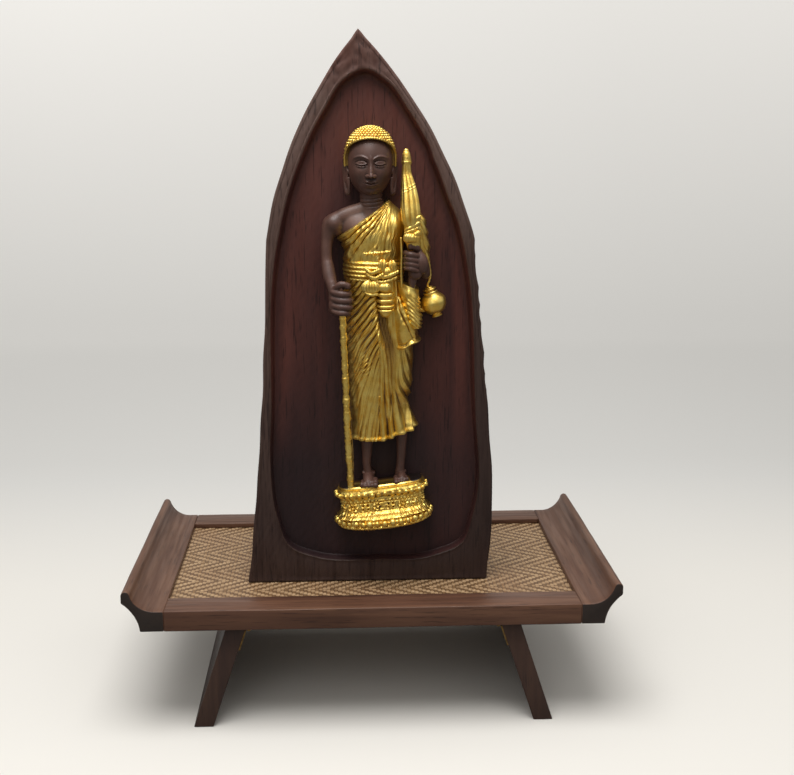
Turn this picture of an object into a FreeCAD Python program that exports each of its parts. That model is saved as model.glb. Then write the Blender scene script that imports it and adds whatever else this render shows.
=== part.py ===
"""Standing monk in a carved niche panel, on a tray stand with folding plank legs.

Millimetres. X runs along the stand, -Y is the front, +Z is up, and the origin is on the floor
under the middle of the stand.
"""

import FreeCAD, Part
import math
import os

os.makedirs("parts", exist_ok=True)
Vec = FreeCAD.Vector
X_AXIS = Vec(1, 0, 0)
Y_AXIS = Vec(0, 1, 0)
Z_AXIS = Vec(0, 0, 1)
BIG = 2000.0

# ------------------------------------------------------------------ stand: frame
tray_length = 400.0          # over the scrolled tips
tray_depth = 248.0
rail_top = 104.0             # height of the rails' upper faces above the floor
rail_thickness = 17.0
rail_width = 29.0
arris = 0.8                  # rounding of the long edges
end_board_reach = 33.3       # from the seam with the rails out to the tip
end_board_flat = 7.3         # level strip between the seam and the cove
cove_radius = 19.6           # hollow that turns the end board upwards
cove_turn = 75.0             # degrees that the cove turns through
tip_rise = 16.8              # top of the scrolled tip above the rails
tip_crown_inset = 3.6        # highest point of the tip, in from the outside
tip_round_drop = 3.8         # how far the rounded tip comes down on its outer side
tip_lower_rise = 7.2         # lower corner of the tip above the rails
underside_inset = 14.3       # bottom corner of the end board, in from the tip
underside_hollow = 3.0       # hollow of the sloping outer face
dowel_radius = 3.0
dowel_reach = 12.0           # into the rail and into the end board
dowel_insets = (8.0, 18.0)   # from the outer edge of a rail

# ------------------------------------------------------------------ stand: mat and board
mat_recess = 4.6             # mat below the rails' upper faces
mat_thickness = 1.5
board_thickness = 4.0
groove_depth = 6.0
board_play = 0.2             # between the board's edge and the bottom of its groove

# ------------------------------------------------------------------ stand: legs
leg_splay = 18.3             # degrees from upright
leg_thickness = 15.0
leg_setback = 8.5            # leg edges behind the faces of the front and back rails
feet_spread = 294.0          # over the outer edges of the feet

# ------------------------------------------------------------------ stand: hinges
hinge_offset = 2.6           # pin centre from the rail's underside and from the leg's face
knuckle_radius = 2.0
pin_radius = 1.0
pin_play = 0.05              # radial play of the pin in the leg's knuckle
leaf_width = 18.0
leaf_length = 20.0
leaf_thickness = 1.2
knuckle_gap = 0.3            # between neighbouring knuckles
notch_gap = 0.4              # between a leaf and the other leaf's knuckles
hinge_edge_inset = 0.6       # hinge in from the edge of the leg
screw_head_radius = 2.4
screw_head_depth = 1.3
screw_shank_radius = 1.1
screw_point = 2.0
rail_screw_length = 6.5
leg_screw_length = 10.0
screw_rows = (7.0, 15.0)     # from the pin along the leaf
screw_stagger = 4.5          # to each side of the leaf's middle

# ------------------------------------------------------------------ niche panel
slab_front = 52.6            # front face, forward of the stand's middle
slab_thickness = 56.0
slab_height = 453.7
foot_left = 105.0            # half widths to each side of the middle, at the bottom
foot_right = 98.3
hip_level = 45.6             # widest point of the right edge
hip_right = 102.3
shoulder_level = 290.0       # where the straight sides turn into the arch
shoulder_left = 84.3
shoulder_right = 84.9
apex_offset = -8.9
arch_rise = 12.3             # bow of each side of the arch over its chord
side_hollow = 3.4            # hollow of the left side over its chord
side_level = 168.0           # a point half way up the right edge
side_right = 96.3
slab_arris = 3.0
niche_depth = 10.0
niche_crown = 423.7          # top of the niche
niche_crown_offset = -2.8
niche_crown_half = 17.0      # half width where the rounded top begins
niche_crown_drop = 9.0
niche_shoulder_half = 74.8
niche_waist_level = 157.0
niche_waist_left = 82.3
niche_waist_right = 86.5
niche_arch_rise = 8.5
niche_heel_level = 58.0      # where the sides turn into the bottom
niche_heel_left = 79.0
niche_heel_right = 86.0
niche_corner = 33.0          # reach of the rounded bottom corners
niche_sill = 19.0            # bottom of the niche above the foot of the panel
niche_sill_sag = 3.0
niche_corner_bend = 0.22     # bow of the rounded corners, as a share of their reach
niche_draft = 4.0            # how far the niche's walls slope in towards its floor

# ------------------------------------------------------------------ figure, from the panel's foot
figure_x = 2.0               # middle line of the body
hem_left_level = 126.0
hem_right_level = 133.5
belt_low = 256.0
belt_high = 273.0
chin_level = 325.0
temple_level = 355.0         # where the head is widest
skull_level = 377.5
crown_level = 380.9
skull_radius = 18.0
hair_thickness = 3.2         # at the temples
head_x = 0.0
head_forward = 15.0          # head's middle in front of the niche floor
hair_front_level = 371.0
hair_ear_level = 346.0
robe_edge_high = Vec(14.7, 0, 321.0)     # edge of the robe at the covered shoulder
robe_edge_low = Vec(-25.4, 0, 292.6)     # and under the bare arm
robe_thickness = 1.0
ear_setback = 2.0            # ears behind the middle of the head
# stations of an ear: distance from the head's middle line, height over the chin, radius
ear_stations = [(17.2, 4.0, 2.0), (18.2, 16.0, 2.6), (18.4, 29.0, 3.2)]

# stations of the relief: level, left, right, height above the niche floor
robe_stations = [
    (155.0, -18.4, 31.0, 24.6),
    (170.0, -19.8, 33.8, 25.4),
    (196.0, -21.5, 35.0, 26.0),
    (233.0, -21.8, 33.0, 27.5),
]
hem_width = (-16.5, 38.6, 25.0)
belt_width = (-20.8, 26.4, 27.0)
belt_bulge = (-22.2, 28.0, 30.0)
body_stations = [
    (283.0, -21.4, 27.4, 27.4),
    (292.0, -25.2, 28.2, 27.4),
    (303.0, -27.0, 29.0, 25.0),
    (313.0, -24.5, 25.0, 20.5),
    (319.5, -11.0, 15.0, 17.0),
]
drape_stations = [
    (258.5, 31.0, 46.0, 15.0),
    (272.0, 27.0, 47.0, 19.0),
    (296.0, 24.0, 45.4, 19.0),
    (308.0, 22.0, 42.5, 18.0),
    (313.5, 24.0, 38.0, 14.0),
]
robe_end_stations = [
    (221.5, 21.0, 40.4, 30.0),
    (229.0, 20.0, 41.4, 31.0),
    (241.5, 19.6, 41.6, 31.0),
    (255.0, 23.0, 34.0, 29.5),
]
robe_tip_stations = [
    (200.5, 22.5, 31.0, 28.0),
    (205.0, 21.5, 38.4, 29.0),
    (221.5, 24.0, 39.0, 29.0),
]

# stations of the limbs, from the bottom up: x, y, level, radius
shin_stations = {
    "right": [(-4.2, -10.5, 91.0, 4.6), (-4.5, -12.0, 107.0, 4.2), (-4.5, -12.5, 123.0, 5.4)],
    "left": [(25.0, -10.5, 94.0, 4.6), (25.4, -12.0, 112.0, 4.2), (25.6, -12.5, 130.0, 5.4)],
}
neck_stations = [
    (2.0, -12.0, 312.0, 10.5),
    (1.2, -13.5, 321.0, 8.8),
    (0.0, -15.0, 333.0, 8.6),
]
foot_x = {"right": -2.6, "left": 24.6}
# sections of a foot from the heel to the toes: reach from the niche floor, height, half width
foot_sections = [(5.0, 6.4, 4.8), (13.1, 5.1, 5.4), (19.4, 3.2, 5.8), (23.0, 1.8, 4.6)]
arm_stations = [
    (-25.5, -25.0, 252.0, 5.2),
    (-31.5, -18.5, 262.0, 6.2),
    (-34.0, -15.0, 275.0, 6.4),
    (-33.4, -13.0, 290.0, 6.4),
    (-31.0, -12.0, 303.0, 8.2),
    (-27.5, -11.0, 310.5, 5.6),
]
hand_right_stations = [
    (-24.6, -26.5, 228.8, 4.5),
    (-24.0, -27.0, 235.0, 8.2),
    (-23.6, -27.5, 243.0, 9.6),
    (-23.2, -27.0, 252.0, 8.2),
    (-22.6, -26.5, 258.8, 4.2),
]
hand_left_stations = [
    (36.6, -26.0, 256.5, 4.6),
    (36.2, -27.0, 263.0, 8.6),
    (35.6, -27.5, 273.0, 9.6),
    (35.4, -26.5, 283.0, 8.2),
    (35.2, -26.0, 289.0, 5.6),
]
knot_stations = [
    (5.0, -29.0, 259.0, 4.2),
    (6.5, -30.0, 264.0, 5.6),
    (9.5, -30.0, 270.0, 5.4),
    (12.0, -29.0, 275.5, 3.6),
]
tail_stations = [
    (14.0, -29.5, 229.2, 4.6),
    (14.0, -30.0, 234.0, 6.2),
    (13.7, -30.5, 243.0, 5.6),
    (13.4, -30.0, 252.0, 5.0),
    (12.8, -29.0, 259.5, 4.4),
]
staff_stations = [
    (-17.5, -19.0, 86.5, 2.5),
    (-19.3, -22.0, 130.0, 2.6),
    (-21.0, -24.5, 180.0, 2.7),
    (-22.9, -27.0, 240.0, 2.8),
]
canopy_stations = [
    (33.6, -26.0, 295.0, 5.0),
    (33.0, -25.5, 303.0, 7.4),
    (32.4, -25.0, 312.0, 7.7),
    (31.6, -24.5, 322.0, 6.8),
    (30.2, -23.5, 337.5, 4.8),
    (29.0, -22.5, 350.0, 3.6),
]
# turned pieces: radius, height along their own axis
tie_profile = [(3.8, 0.0), (7.2, 2.7), (5.8, 4.8), (5.0, 6.0)]       # ends at the canopy
finial_profile = [(3.4, 0.0), (4.3, 0.8), (4.3, 2.2), (3.1, 3.0), (2.6, 5.2), (0.6, 10.0)]
handle_radius = 2.2
handle_low = 251.5
pot_middle = Vec(51.6, -9.0, 237.6)
pot_radius = 9.7
pot_lean = 13.0              # degrees, mouth towards the figure
# heights from the pot's middle, away from it
pot_foot_profile = [(3.4, 7.9), (4.2, 10.5)]
pot_neck_profile = [(4.1, 7.9), (4.6, 9.5), (3.2, 10.3), (4.8, 11.5), (3.2, 12.3), (1.6, 13.9)]
pot_spout_profile = [(2.2, 7.9), (1.3, 12.9)]
strap_stations = [
    (53.1, -10.0, 248.2, 0.9),
    (50.5, -14.0, 258.2, 0.9),
    (45.5, -19.0, 270.2, 0.9),
]

# ------------------------------------------------------------------ pedestal
pedestal_x = 7.5
pedestal_top = 89.0
pedestal_tilt = 6.2          # degrees, right side up
# stations down from the top: depth below it, half width, height above the niche floor
deck_stations = [(0.0, 34.3, 23.0), (3.6, 34.8, 23.5)]
upper_rim_stations = [(3.6, 37.0, 25.4), (7.4, 39.2, 27.2), (11.2, 37.0, 25.4)]
waist_stations = [(11.2, 35.0, 24.0), (18.0, 34.6, 24.0), (26.0, 37.6, 29.5)]
lower_rim_stations = [(26.0, 38.8, 31.5), (30.7, 41.2, 34.2), (35.3, 38.8, 31.5)]

# ------------------------------------------------------------------ hidden pegs behind the figure
peg_radius = 3.0
peg_reach = 9.0              # into the panel and into the figure
peg_places = [(figure_x, 300.0), (figure_x, 240.0), (figure_x + 4.0, 165.0), (9.0, 72.0)]

# ------------------------------------------------------------------ fineness of the carved forms
crown_steps = 8              # points over the crown of a relief section
crown_fullness = 0.82        # below 1 the crown is fuller than an ellipse
drum_fullness = 0.5          # the same for the pedestal's deck, upper rim and waist
egg_rings = 5                # rings from the widest level to each pole of the head
egg_close = 0.9              # share of the way to the poles that the rings reach

# ------------------------------------------------------------------ worked out from the above
half_length = tray_length / 2
half_depth = tray_depth / 2
rail_bottom = rail_top - rail_thickness
seam_x = half_length - end_board_reach
mat_top = rail_top - mat_recess
board_top = mat_top - mat_thickness
board_bottom = board_top - board_thickness
groove_top = mat_top
lean = math.radians(leg_splay)
leg_width_level = leg_thickness / math.cos(lean)
foot_outer_x = feet_spread / 2
leg_top_outer_x = foot_outer_x - rail_bottom * math.tan(lean)
leg_top_inner_x = leg_top_outer_x - leg_width_level
pin_z = rail_bottom - hinge_offset
pin_x = leg_top_inner_x + hinge_offset * math.tan(lean) - hinge_offset / math.cos(lean)
hinge_y = half_depth - leg_setback - hinge_edge_inset - leaf_width / 2
niche_floor_y = -slab_front + niche_depth


# ------------------------------------------------------------------ helpers
def box(x_range, y_range, z_range):
    """A block between two corners."""
    size = [abs(r[1] - r[0]) for r in (x_range, y_range, z_range)]
    corner = Vec(min(x_range), min(y_range), min(z_range))
    return Part.makeBox(size[0], size[1], size[2], corner)


def extrude_y(edges, y_range):
    """A prism along Y from a closed outline in the XZ plane."""
    face = Part.Face(Part.Wire(edges))
    face.translate(Vec(0, y_range[0], 0))
    return face.extrude(Vec(0, y_range[1] - y_range[0], 0))


def line(a, b):
    return Part.LineSegment(a, b).toShape()


def arc(a, middle, b):
    return Part.Arc(a, middle, b).toShape()


def bowed(a, b, bow):
    """An arc in the XZ plane from a to b that stands bow to the left of the way from a to b."""
    chord = b - a
    left = Vec(-chord.z, 0, chord.x).normalize()
    return arc(a, (a + b) * 0.5 + left * bow, b)


def smooth(points):
    """One smooth edge through a few points."""
    curve = Part.BSplineCurve()
    curve.interpolate(points)
    return curve.toShape()


def one_solid(shape):
    """The main solid of a boolean result, without crumbs at a tangent edge."""
    return max(shape.Solids, key=lambda solid: solid.Volume)


def mirrored(shape, normal):
    return shape.mirror(Vec(0, 0, 0), normal)


def parallel_edges(shape, axis):
    """The straight edges of a solid that run along axis."""
    found = []
    for edge in shape.Edges:
        if edge.Curve.TypeId != "Part::GeomLine":
            continue
        if abs(abs(edge.tangentAt(edge.FirstParameter).dot(axis)) - 1) < 1e-6:
            found.append(edge)
    return found


def group(shapes):
    """Separate solids that share one file."""
    return Part.makeCompound(shapes)


# ------------------------------------------------------------------ stand
def end_board_outline():
    """Profile of the right end board: level strip, cove, rounded tip, hollow underside."""
    turn = math.radians(cove_turn)
    cove_x = seam_x + end_board_flat
    inner_low = Vec(seam_x, 0, rail_bottom)
    inner_high = Vec(seam_x, 0, rail_top)
    cove_start = Vec(cove_x, 0, rail_top)
    cove_middle = Vec(cove_x + cove_radius * math.sin(turn / 2), 0,
                      rail_top + cove_radius * (1 - math.cos(turn / 2)))
    cove_end = Vec(cove_x + cove_radius * math.sin(turn), 0,
                   rail_top + cove_radius * (1 - math.cos(turn)))
    crown = Vec(half_length - tip_crown_inset, 0, rail_top + tip_rise)
    tip_outer = Vec(half_length, 0, rail_top + tip_rise - tip_round_drop)
    tip_lower = Vec(half_length, 0, rail_top + tip_lower_rise)
    underside = Vec(half_length - underside_inset, 0, rail_bottom)
    return [
        line(inner_low, inner_high),
        line(inner_high, cove_start),
        arc(cove_start, cove_middle, cove_end),
        arc(cove_end, crown, tip_outer),
        line(tip_outer, tip_lower),
        bowed(tip_lower, underside, -underside_hollow),
        line(underside, inner_low),
    ]


def board_space():
    """The room for the mat and its board, with the grooves that hold their edges."""
    reach_x = seam_x + groove_depth
    reach_y = half_depth - rail_width + groove_depth
    return box((-reach_x, reach_x), (-reach_y, reach_y), (board_bottom, groove_top))


def make_dowels():
    dowels = []
    level = rail_bottom + rail_thickness / 2
    for side in (-1, 1):
        for front in (-1, 1):
            for inset in dowel_insets:
                start = Vec(side * (seam_x - dowel_reach), front * (half_depth - inset), level)
                dowels.append(Part.makeCylinder(dowel_radius, 2 * dowel_reach, start, X_AXIS * side))
    return dowels


def make_rail(front, dowels):
    """A rail between the end boards; front is -1 for the front rail and 1 for the back one."""
    outer = front * half_depth
    rail = box((-seam_x, seam_x), (outer, outer - front * rail_width), (rail_bottom, rail_top))
    outer_edges = [e for e in parallel_edges(rail, X_AXIS)
                   if abs(e.CenterOfMass.y - outer) < arris]
    rail = rail.makeFillet(arris, outer_edges)
    return one_solid(rail.cut(board_space()).cut(group(dowels)))


def make_end_board(side, dowels):
    board = extrude_y(end_board_outline(), (-half_depth, half_depth))
    if side < 0:
        board = mirrored(board, X_AXIS)
    return one_solid(board.cut(board_space()).cut(group(dowels)))


def make_board_and_mat():
    reach_x = seam_x + groove_depth - board_play
    reach_y = half_depth - rail_width + groove_depth - board_play
    board = box((-reach_x, reach_x), (-reach_y, reach_y), (board_bottom, board_top))
    mat = box((-reach_x, reach_x), (-reach_y, reach_y), (board_top, mat_top))
    return board, mat


def make_leg():
    """Right leg: a leaning plank, its top bevelled to bear on the rails, its foot cut level."""
    corners = [
        Vec(foot_outer_x, 0, 0),
        Vec(foot_outer_x - leg_width_level, 0, 0),
        Vec(leg_top_inner_x, 0, rail_bottom),
        Vec(leg_top_outer_x, 0, rail_bottom),
    ]
    edges = [line(corners[i], corners[(i + 1) % 4]) for i in range(4)]
    reach = half_depth - leg_setback
    leg = extrude_y(edges, (-reach, reach))
    along = Vec(math.sin(lean), 0, -math.cos(lean))
    return leg.makeFillet(arris, parallel_edges(leg, along))


# ------------------------------------------------------------------ hinges
def screw(head, direction, length):
    """A countersunk screw; head is the middle of its flush face."""
    profile = [
        Vec(0, 0, 0),
        Vec(screw_head_radius, 0, 0),
        Vec(screw_shank_radius, 0, screw_head_depth),
        Vec(screw_shank_radius, 0, length - screw_point),
        Vec(0, 0, length),
    ]
    edges = [line(profile[i], profile[(i + 1) % 5]) for i in range(5)]
    body = Part.Face(Part.Wire(edges)).revolve(Vec(0, 0, 0), Z_AXIS, 360)
    body.Placement = FreeCAD.Placement(head, FreeCAD.Rotation(Z_AXIS, direction))
    return body


def knuckles():
    """The three knuckle spans along the hinge, each with its gap."""
    width = (leaf_width - 2 * knuckle_gap) / 3
    starts = [-leaf_width / 2 + i * (width + knuckle_gap) for i in range(3)]
    return [(start, start + width) for start in starts]


def leaf(own_spans, other_spans, bore):
    """A leaf that lies above the pin at the origin and runs towards -X, with its knuckles."""
    half = leaf_width / 2
    plate_z = (hinge_offset - leaf_thickness, hinge_offset)
    plate = box((-leaf_length, 0), (-half, half), plate_z)
    for span in other_spans:
        reach = knuckle_radius + notch_gap
        plate = plate.cut(box((-reach, 0), (span[0] - notch_gap, span[1] + notch_gap), plate_z))
    for span in own_spans:
        plate = plate.fuse(Part.makeCylinder(knuckle_radius, span[1] - span[0],
                                             Vec(0, span[0], 0), Y_AXIS))
    plate = plate.removeSplitter()
    for span in own_spans:
        plate = plate.cut(Part.makeCylinder(bore, span[1] - span[0], Vec(0, span[0], 0), Y_AXIS))
    return one_solid(plate)


def make_hinge():
    """One hinge of the right leg, at the back rail: leaves, pin and screws in their places."""
    spans = knuckles()
    pin_place = Vec(pin_x, hinge_y, pin_z)

    rail_leaf = leaf([spans[0], spans[2]], [spans[1]], pin_radius)
    rail_leaf.translate(pin_place)
    rail_screws = []
    for row, sideways in zip(screw_rows, (screw_stagger, -screw_stagger)):
        head = Vec(pin_x - row, hinge_y + sideways, rail_bottom - leaf_thickness)
        rail_screws.append(screw(head, Z_AXIS, rail_screw_length))

    # the leg's leaf is a rail leaf turned over on to the leg's inner face
    leg_leaf = mirrored(leaf([spans[1]], [spans[0], spans[2]], pin_radius + pin_play), Z_AXIS)
    turn = -(90 + leg_splay)
    leg_leaf.rotate(Vec(0, 0, 0), Y_AXIS, turn)
    leg_leaf.translate(pin_place)
    inward = Vec(-math.cos(lean), 0, -math.sin(lean))
    down_leg = Vec(math.sin(lean), 0, -math.cos(lean))
    leg_screws = []
    for row, sideways in zip(screw_rows, (screw_stagger, -screw_stagger)):
        head = pin_place + down_leg * row - inward * (hinge_offset - leaf_thickness)
        head = head + Vec(0, sideways, 0)
        leg_screws.append(screw(head, inward * -1, leg_screw_length))

    pin = Part.makeCylinder(pin_radius, leaf_width, pin_place - Y_AXIS * (leaf_width / 2), Y_AXIS)
    return {"rail_leaf": rail_leaf, "leg_leaf": leg_leaf, "pin": pin,
            "rail_screws": rail_screws, "leg_screws": leg_screws}


def placed(shapes, side, front):
    """Copies of a hinge's shapes at another corner of the stand."""
    copies = []
    for shape in shapes:
        copy = shape.copy()
        if side < 0:
            copy = mirrored(copy, X_AXIS)
        if front < 0:
            copy = mirrored(copy, Y_AXIS)
        copies.append(copy)
    return copies


def build_stand():
    parts = {}
    dowels = make_dowels()
    parts["frame_dowels"] = group(dowels)
    parts["rail_front"] = make_rail(-1, dowels)
    parts["rail_back"] = make_rail(1, dowels)
    parts["end_left"] = make_end_board(-1, dowels)
    parts["end_right"] = make_end_board(1, dowels)
    parts["backing_panel"], parts["woven_mat"] = make_board_and_mat()

    hinge = make_hinge()
    rail_leaves = []
    pins = []
    rail_screws = []
    for side, name in ((-1, "left"), (1, "right")):
        leg_screws = []
        leg_leaves = []
        for front in (-1, 1):
            rail_leaves += placed([hinge["rail_leaf"]], side, front)
            pins += placed([hinge["pin"]], side, front)
            rail_screws += placed(hinge["rail_screws"], side, front)
            leg_leaves += placed([hinge["leg_leaf"]], side, front)
            leg_screws += placed(hinge["leg_screws"], side, front)
        leg = make_leg()
        if side < 0:
            leg = mirrored(leg, X_AXIS)
        parts["leg_" + name] = one_solid(leg.cut(group(leg_screws)))
        leaves = [one_solid(leaf_.cut(group(leg_screws))) for leaf_ in leg_leaves]
        parts["hinge_leaves_" + name] = group(leaves)
        parts["hinge_screws_" + name] = group(leg_screws)
    leaves = [one_solid(leaf_.cut(group(rail_screws))) for leaf_ in rail_leaves]
    parts["hinge_leaves_frame"] = group(leaves)
    parts["hinge_pins"] = group(pins)
    parts["hinge_screws_frame"] = group(rail_screws)
    for name in ("rail_front", "rail_back"):
        parts[name] = one_solid(parts[name].cut(group(rail_screws)))
    return parts


# ------------------------------------------------------------------ niche panel
def slab_outline(inset):
    """Pointed outline of the panel from its foot, its edges drawn in by inset."""
    base_left = Vec(inset - foot_left, 0, 0)
    base_right = Vec(foot_right - inset, 0, 0)
    hip = Vec(hip_right - inset, 0, hip_level)
    side = Vec(side_right - inset, 0, side_level)
    right = Vec(shoulder_right - inset, 0, shoulder_level)
    left = Vec(inset - shoulder_left, 0, shoulder_level)
    half_point = math.atan2((shoulder_left + shoulder_right) / 2, slab_height - shoulder_level)
    apex = Vec(apex_offset, 0, slab_height - inset / math.sin(half_point))
    return Part.Wire([
        line(base_left, base_right),
        smooth([base_right, hip, side, right]),
        bowed(right, apex, -arch_rise),
        bowed(apex, left, -arch_rise),
        bowed(left, base_left, side_hollow),
    ])


def niche_outline(inset):
    """Rounded arch of the niche from the panel's foot, its edges drawn in by inset."""
    crown = Vec(niche_crown_offset, 0, niche_crown - inset)
    crown_left = crown + Vec(-niche_crown_half, 0, -niche_crown_drop)
    crown_right = crown + Vec(niche_crown_half, 0, -niche_crown_drop)
    left = Vec(inset - niche_shoulder_half, 0, shoulder_level)
    right = Vec(niche_shoulder_half - inset, 0, shoulder_level)
    waist_left = Vec(inset - niche_waist_left, 0, niche_waist_level)
    waist_right = Vec(niche_waist_right - inset, 0, niche_waist_level)
    heel_left = Vec(inset - niche_heel_left, 0, niche_heel_level)
    heel_right = Vec(niche_heel_right - inset, 0, niche_heel_level)
    sill_level = niche_sill + niche_sill_sag + inset
    sill_left = Vec(niche_corner - niche_heel_left, 0, sill_level)
    sill_right = Vec(niche_heel_right - niche_corner, 0, sill_level)
    bend = niche_corner * niche_corner_bend
    corner_left = (heel_left + sill_left) * 0.5 + Vec(-bend, 0, -bend)
    corner_right = (heel_right + sill_right) * 0.5 + Vec(bend, 0, -bend)
    sill = Vec((sill_left.x + sill_right.x) / 2, 0, niche_sill + inset)
    return Part.Wire([
        arc(crown_left, crown, crown_right),
        bowed(crown_right, right, niche_arch_rise),
        arc(right, waist_right, heel_right),
        arc(heel_right, corner_right, sill_right),
        arc(sill_right, sill, sill_left),
        arc(sill_left, corner_left, heel_left),
        arc(heel_left, waist_left, left),
        bowed(left, crown_left, niche_arch_rise),
    ])


def stacked(outline, places):
    """A solid through an outline's copies; places holds the Y and the inset of each."""
    wires = []
    for y, inset in places:
        wire = outline(inset)
        wire.translate(Vec(0, y, 0))
        wires.append(wire)
    return Part.makeLoft(wires, True, True)


def make_pegs():
    """Pegs across the niche floor, in the statue's own frame."""
    return [Part.makeCylinder(peg_radius, 2 * peg_reach, Vec(x, -peg_reach, level), Y_AXIS)
            for x, level in peg_places]


def make_slab(pegs):
    """The panel with bevelled edges; the niche floor is the plane Y = 0 of the statue's frame."""
    front = -niche_depth
    back = slab_thickness - niche_depth
    slab = stacked(slab_outline, [(front, slab_arris), (front + slab_arris, 0),
                                  (back - slab_arris, 0), (back, slab_arris)])
    niche = stacked(niche_outline, [(2 * front, -niche_draft), (0, niche_draft)])
    return one_solid(slab.cut(niche).cut(group(pegs)))


# ------------------------------------------------------------------ relief forms
def relief_outline(left, right, left_level, right_level, proud, fullness=crown_fullness):
    """A D-shaped section: flat on the niche floor, crowned towards the front."""
    middle = (left + right) / 2
    half = (right - left) / 2
    points = []
    for step in range(crown_steps + 1):
        turn = math.pi * step / crown_steps
        across = -math.copysign(abs(math.cos(turn)) ** fullness, math.cos(turn))
        out = max(math.sin(turn), 0.0) ** fullness
        share = (across + 1) / 2
        level = left_level + (right_level - left_level) * share
        points.append(Vec(middle + half * across, -proud * out, level))
    crown = Part.BSplineCurve()
    crown.interpolate(points)
    return Part.Wire([crown.toShape(), line(points[-1], points[0])])


def relief(stations, fullness=crown_fullness):
    """A loft through level sections, from the bottom up."""
    wires = [relief_outline(left, right, level, level, proud, fullness)
             for level, left, right, proud in stations]
    return Part.makeLoft(wires, True, True)


def limb(stations):
    """A round loft along a path, from the bottom up."""
    places = [Vec(x, y, level) for x, y, level, radius in stations]
    wires = []
    for i, (x, y, level, radius) in enumerate(stations):
        ahead = places[min(i + 1, len(places) - 1)] - places[max(i - 1, 0)]
        ring = Part.makeCircle(radius)
        ring.Placement = FreeCAD.Placement(places[i], FreeCAD.Rotation(Z_AXIS, ahead))
        wires.append(Part.Wire(ring))
    return Part.makeLoft(wires, True, True)


def turned(profile, middle, axis):
    """A turned form: profile is (radius, height) along the axis from middle."""
    points = [Vec(0, 0, profile[0][1])]
    points += [Vec(radius, 0, height) for radius, height in profile]
    points.append(Vec(0, 0, profile[-1][1]))
    edges = [line(points[i], points[i + 1]) for i in range(len(points) - 1)
             if (points[i + 1] - points[i]).Length > 1e-6]
    edges.append(line(points[-1], points[0]))
    body = Part.Face(Part.Wire(edges)).revolve(Vec(0, 0, 0), Z_AXIS, 360)
    body.Placement = FreeCAD.Placement(middle, FreeCAD.Rotation(Z_AXIS, axis))
    return body


def egg(middle, low, wide, high, radius):
    """An upright head form in rings, round at both poles and widest at the level wide."""
    rings = []
    for step in range(-egg_rings, egg_rings + 1):
        turn = egg_close * math.pi / 2 * step / egg_rings
        reach = high - wide if step > 0 else wide - low
        rings.append((middle.x, middle.y, wide + reach * math.sin(turn), radius * math.cos(turn)))
    return limb(rings)


def above_line(low, high):
    """Everything above a sloping line in the XZ plane."""
    slope = math.degrees(math.atan2(high.z - low.z, high.x - low.x))
    space = box((-BIG, BIG), (-BIG, BIG), (0, BIG))
    space.rotate(Vec(0, 0, 0), Y_AXIS, -slope)
    space.translate(low)
    return space


# ------------------------------------------------------------------ figure
def make_body():
    """The trunk above the belt, split along the edge of the robe."""
    stations = [(belt_high,) + belt_width] + body_stations
    trunk = relief(stations)
    robe = relief([(level, left, right, proud + robe_thickness)
                   for level, left, right, proud in stations])
    bare_side = above_line(robe_edge_low, robe_edge_high)
    bare = trunk.common(bare_side).fuse(limb(neck_stations))
    return {"chest": bare, "upper_robe": robe.cut(bare_side)}


def make_lower_robe():
    left, right, proud = hem_width
    hem = relief_outline(left, right, hem_left_level, hem_right_level, proud)
    wires = [hem]
    for level, left, right, proud in robe_stations + [(belt_low,) + belt_width]:
        wires.append(relief_outline(left, right, level, level, proud))
    return Part.makeLoft(wires, True, True)


def make_belt():
    middle = (belt_low + belt_high) / 2
    return relief([(belt_low,) + belt_width, (middle,) + belt_bulge, (belt_high,) + belt_width])


def make_head():
    """A plain egg-shaped head with long ears, and the cap of hair over it."""
    middle = Vec(head_x, -head_forward, 0)
    skull = egg(middle, chin_level, temple_level, skull_level, skull_radius)
    for side in (-1, 1):
        skull = skull.fuse(limb([(head_x + side * out, ear_setback - head_forward,
                                  chin_level + height, radius)
                                 for out, height, radius in ear_stations]))
    cap = egg(middle, chin_level, temple_level, crown_level, skull_radius + hair_thickness)
    slope = math.degrees(math.atan2(hair_front_level - hair_ear_level, skull_radius))
    space = box((-BIG, BIG), (-BIG, BIG), (0, BIG))
    space.rotate(Vec(0, 0, 0), X_AXIS, -slope)
    space.translate(Vec(0, -head_forward, hair_ear_level))
    return {"head": skull, "hair_cap": cap.common(space)}


def pedestal_height(x):
    """Level of the pedestal's top at a distance across."""
    return pedestal_top + (x - pedestal_x) * math.tan(math.radians(pedestal_tilt))


def make_pedestal():
    parts = {}
    for name, stations, fullness in (("pedestal_deck", deck_stations, drum_fullness),
                                     ("pearl_rim_upper", upper_rim_stations, drum_fullness),
                                     ("pedestal_waist", waist_stations, drum_fullness),
                                     ("pearl_rim_lower", lower_rim_stations, crown_fullness)):
        course = relief([(-depth, -half, half, proud) for depth, half, proud in reversed(stations)],
                        fullness)
        course.rotate(Vec(0, 0, 0), Y_AXIS, -pedestal_tilt)
        course.translate(Vec(pedestal_x, 0, pedestal_top))
        parts[name] = course
    return parts


def make_foot(side):
    """A plain foot that stands on the pedestal and points to the front."""
    rings = []
    for reach, height, half in foot_sections:
        ring = relief_outline(-half, half, 0, 0, height)
        ring.rotate(Vec(0, 0, 0), X_AXIS, -90)
        ring.rotate(Vec(0, 0, 0), Y_AXIS, -pedestal_tilt)
        ring.translate(Vec(foot_x[side], -reach, pedestal_height(foot_x[side])))
        rings.append(ring)
    return Part.makeLoft(rings, True, True)


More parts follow.
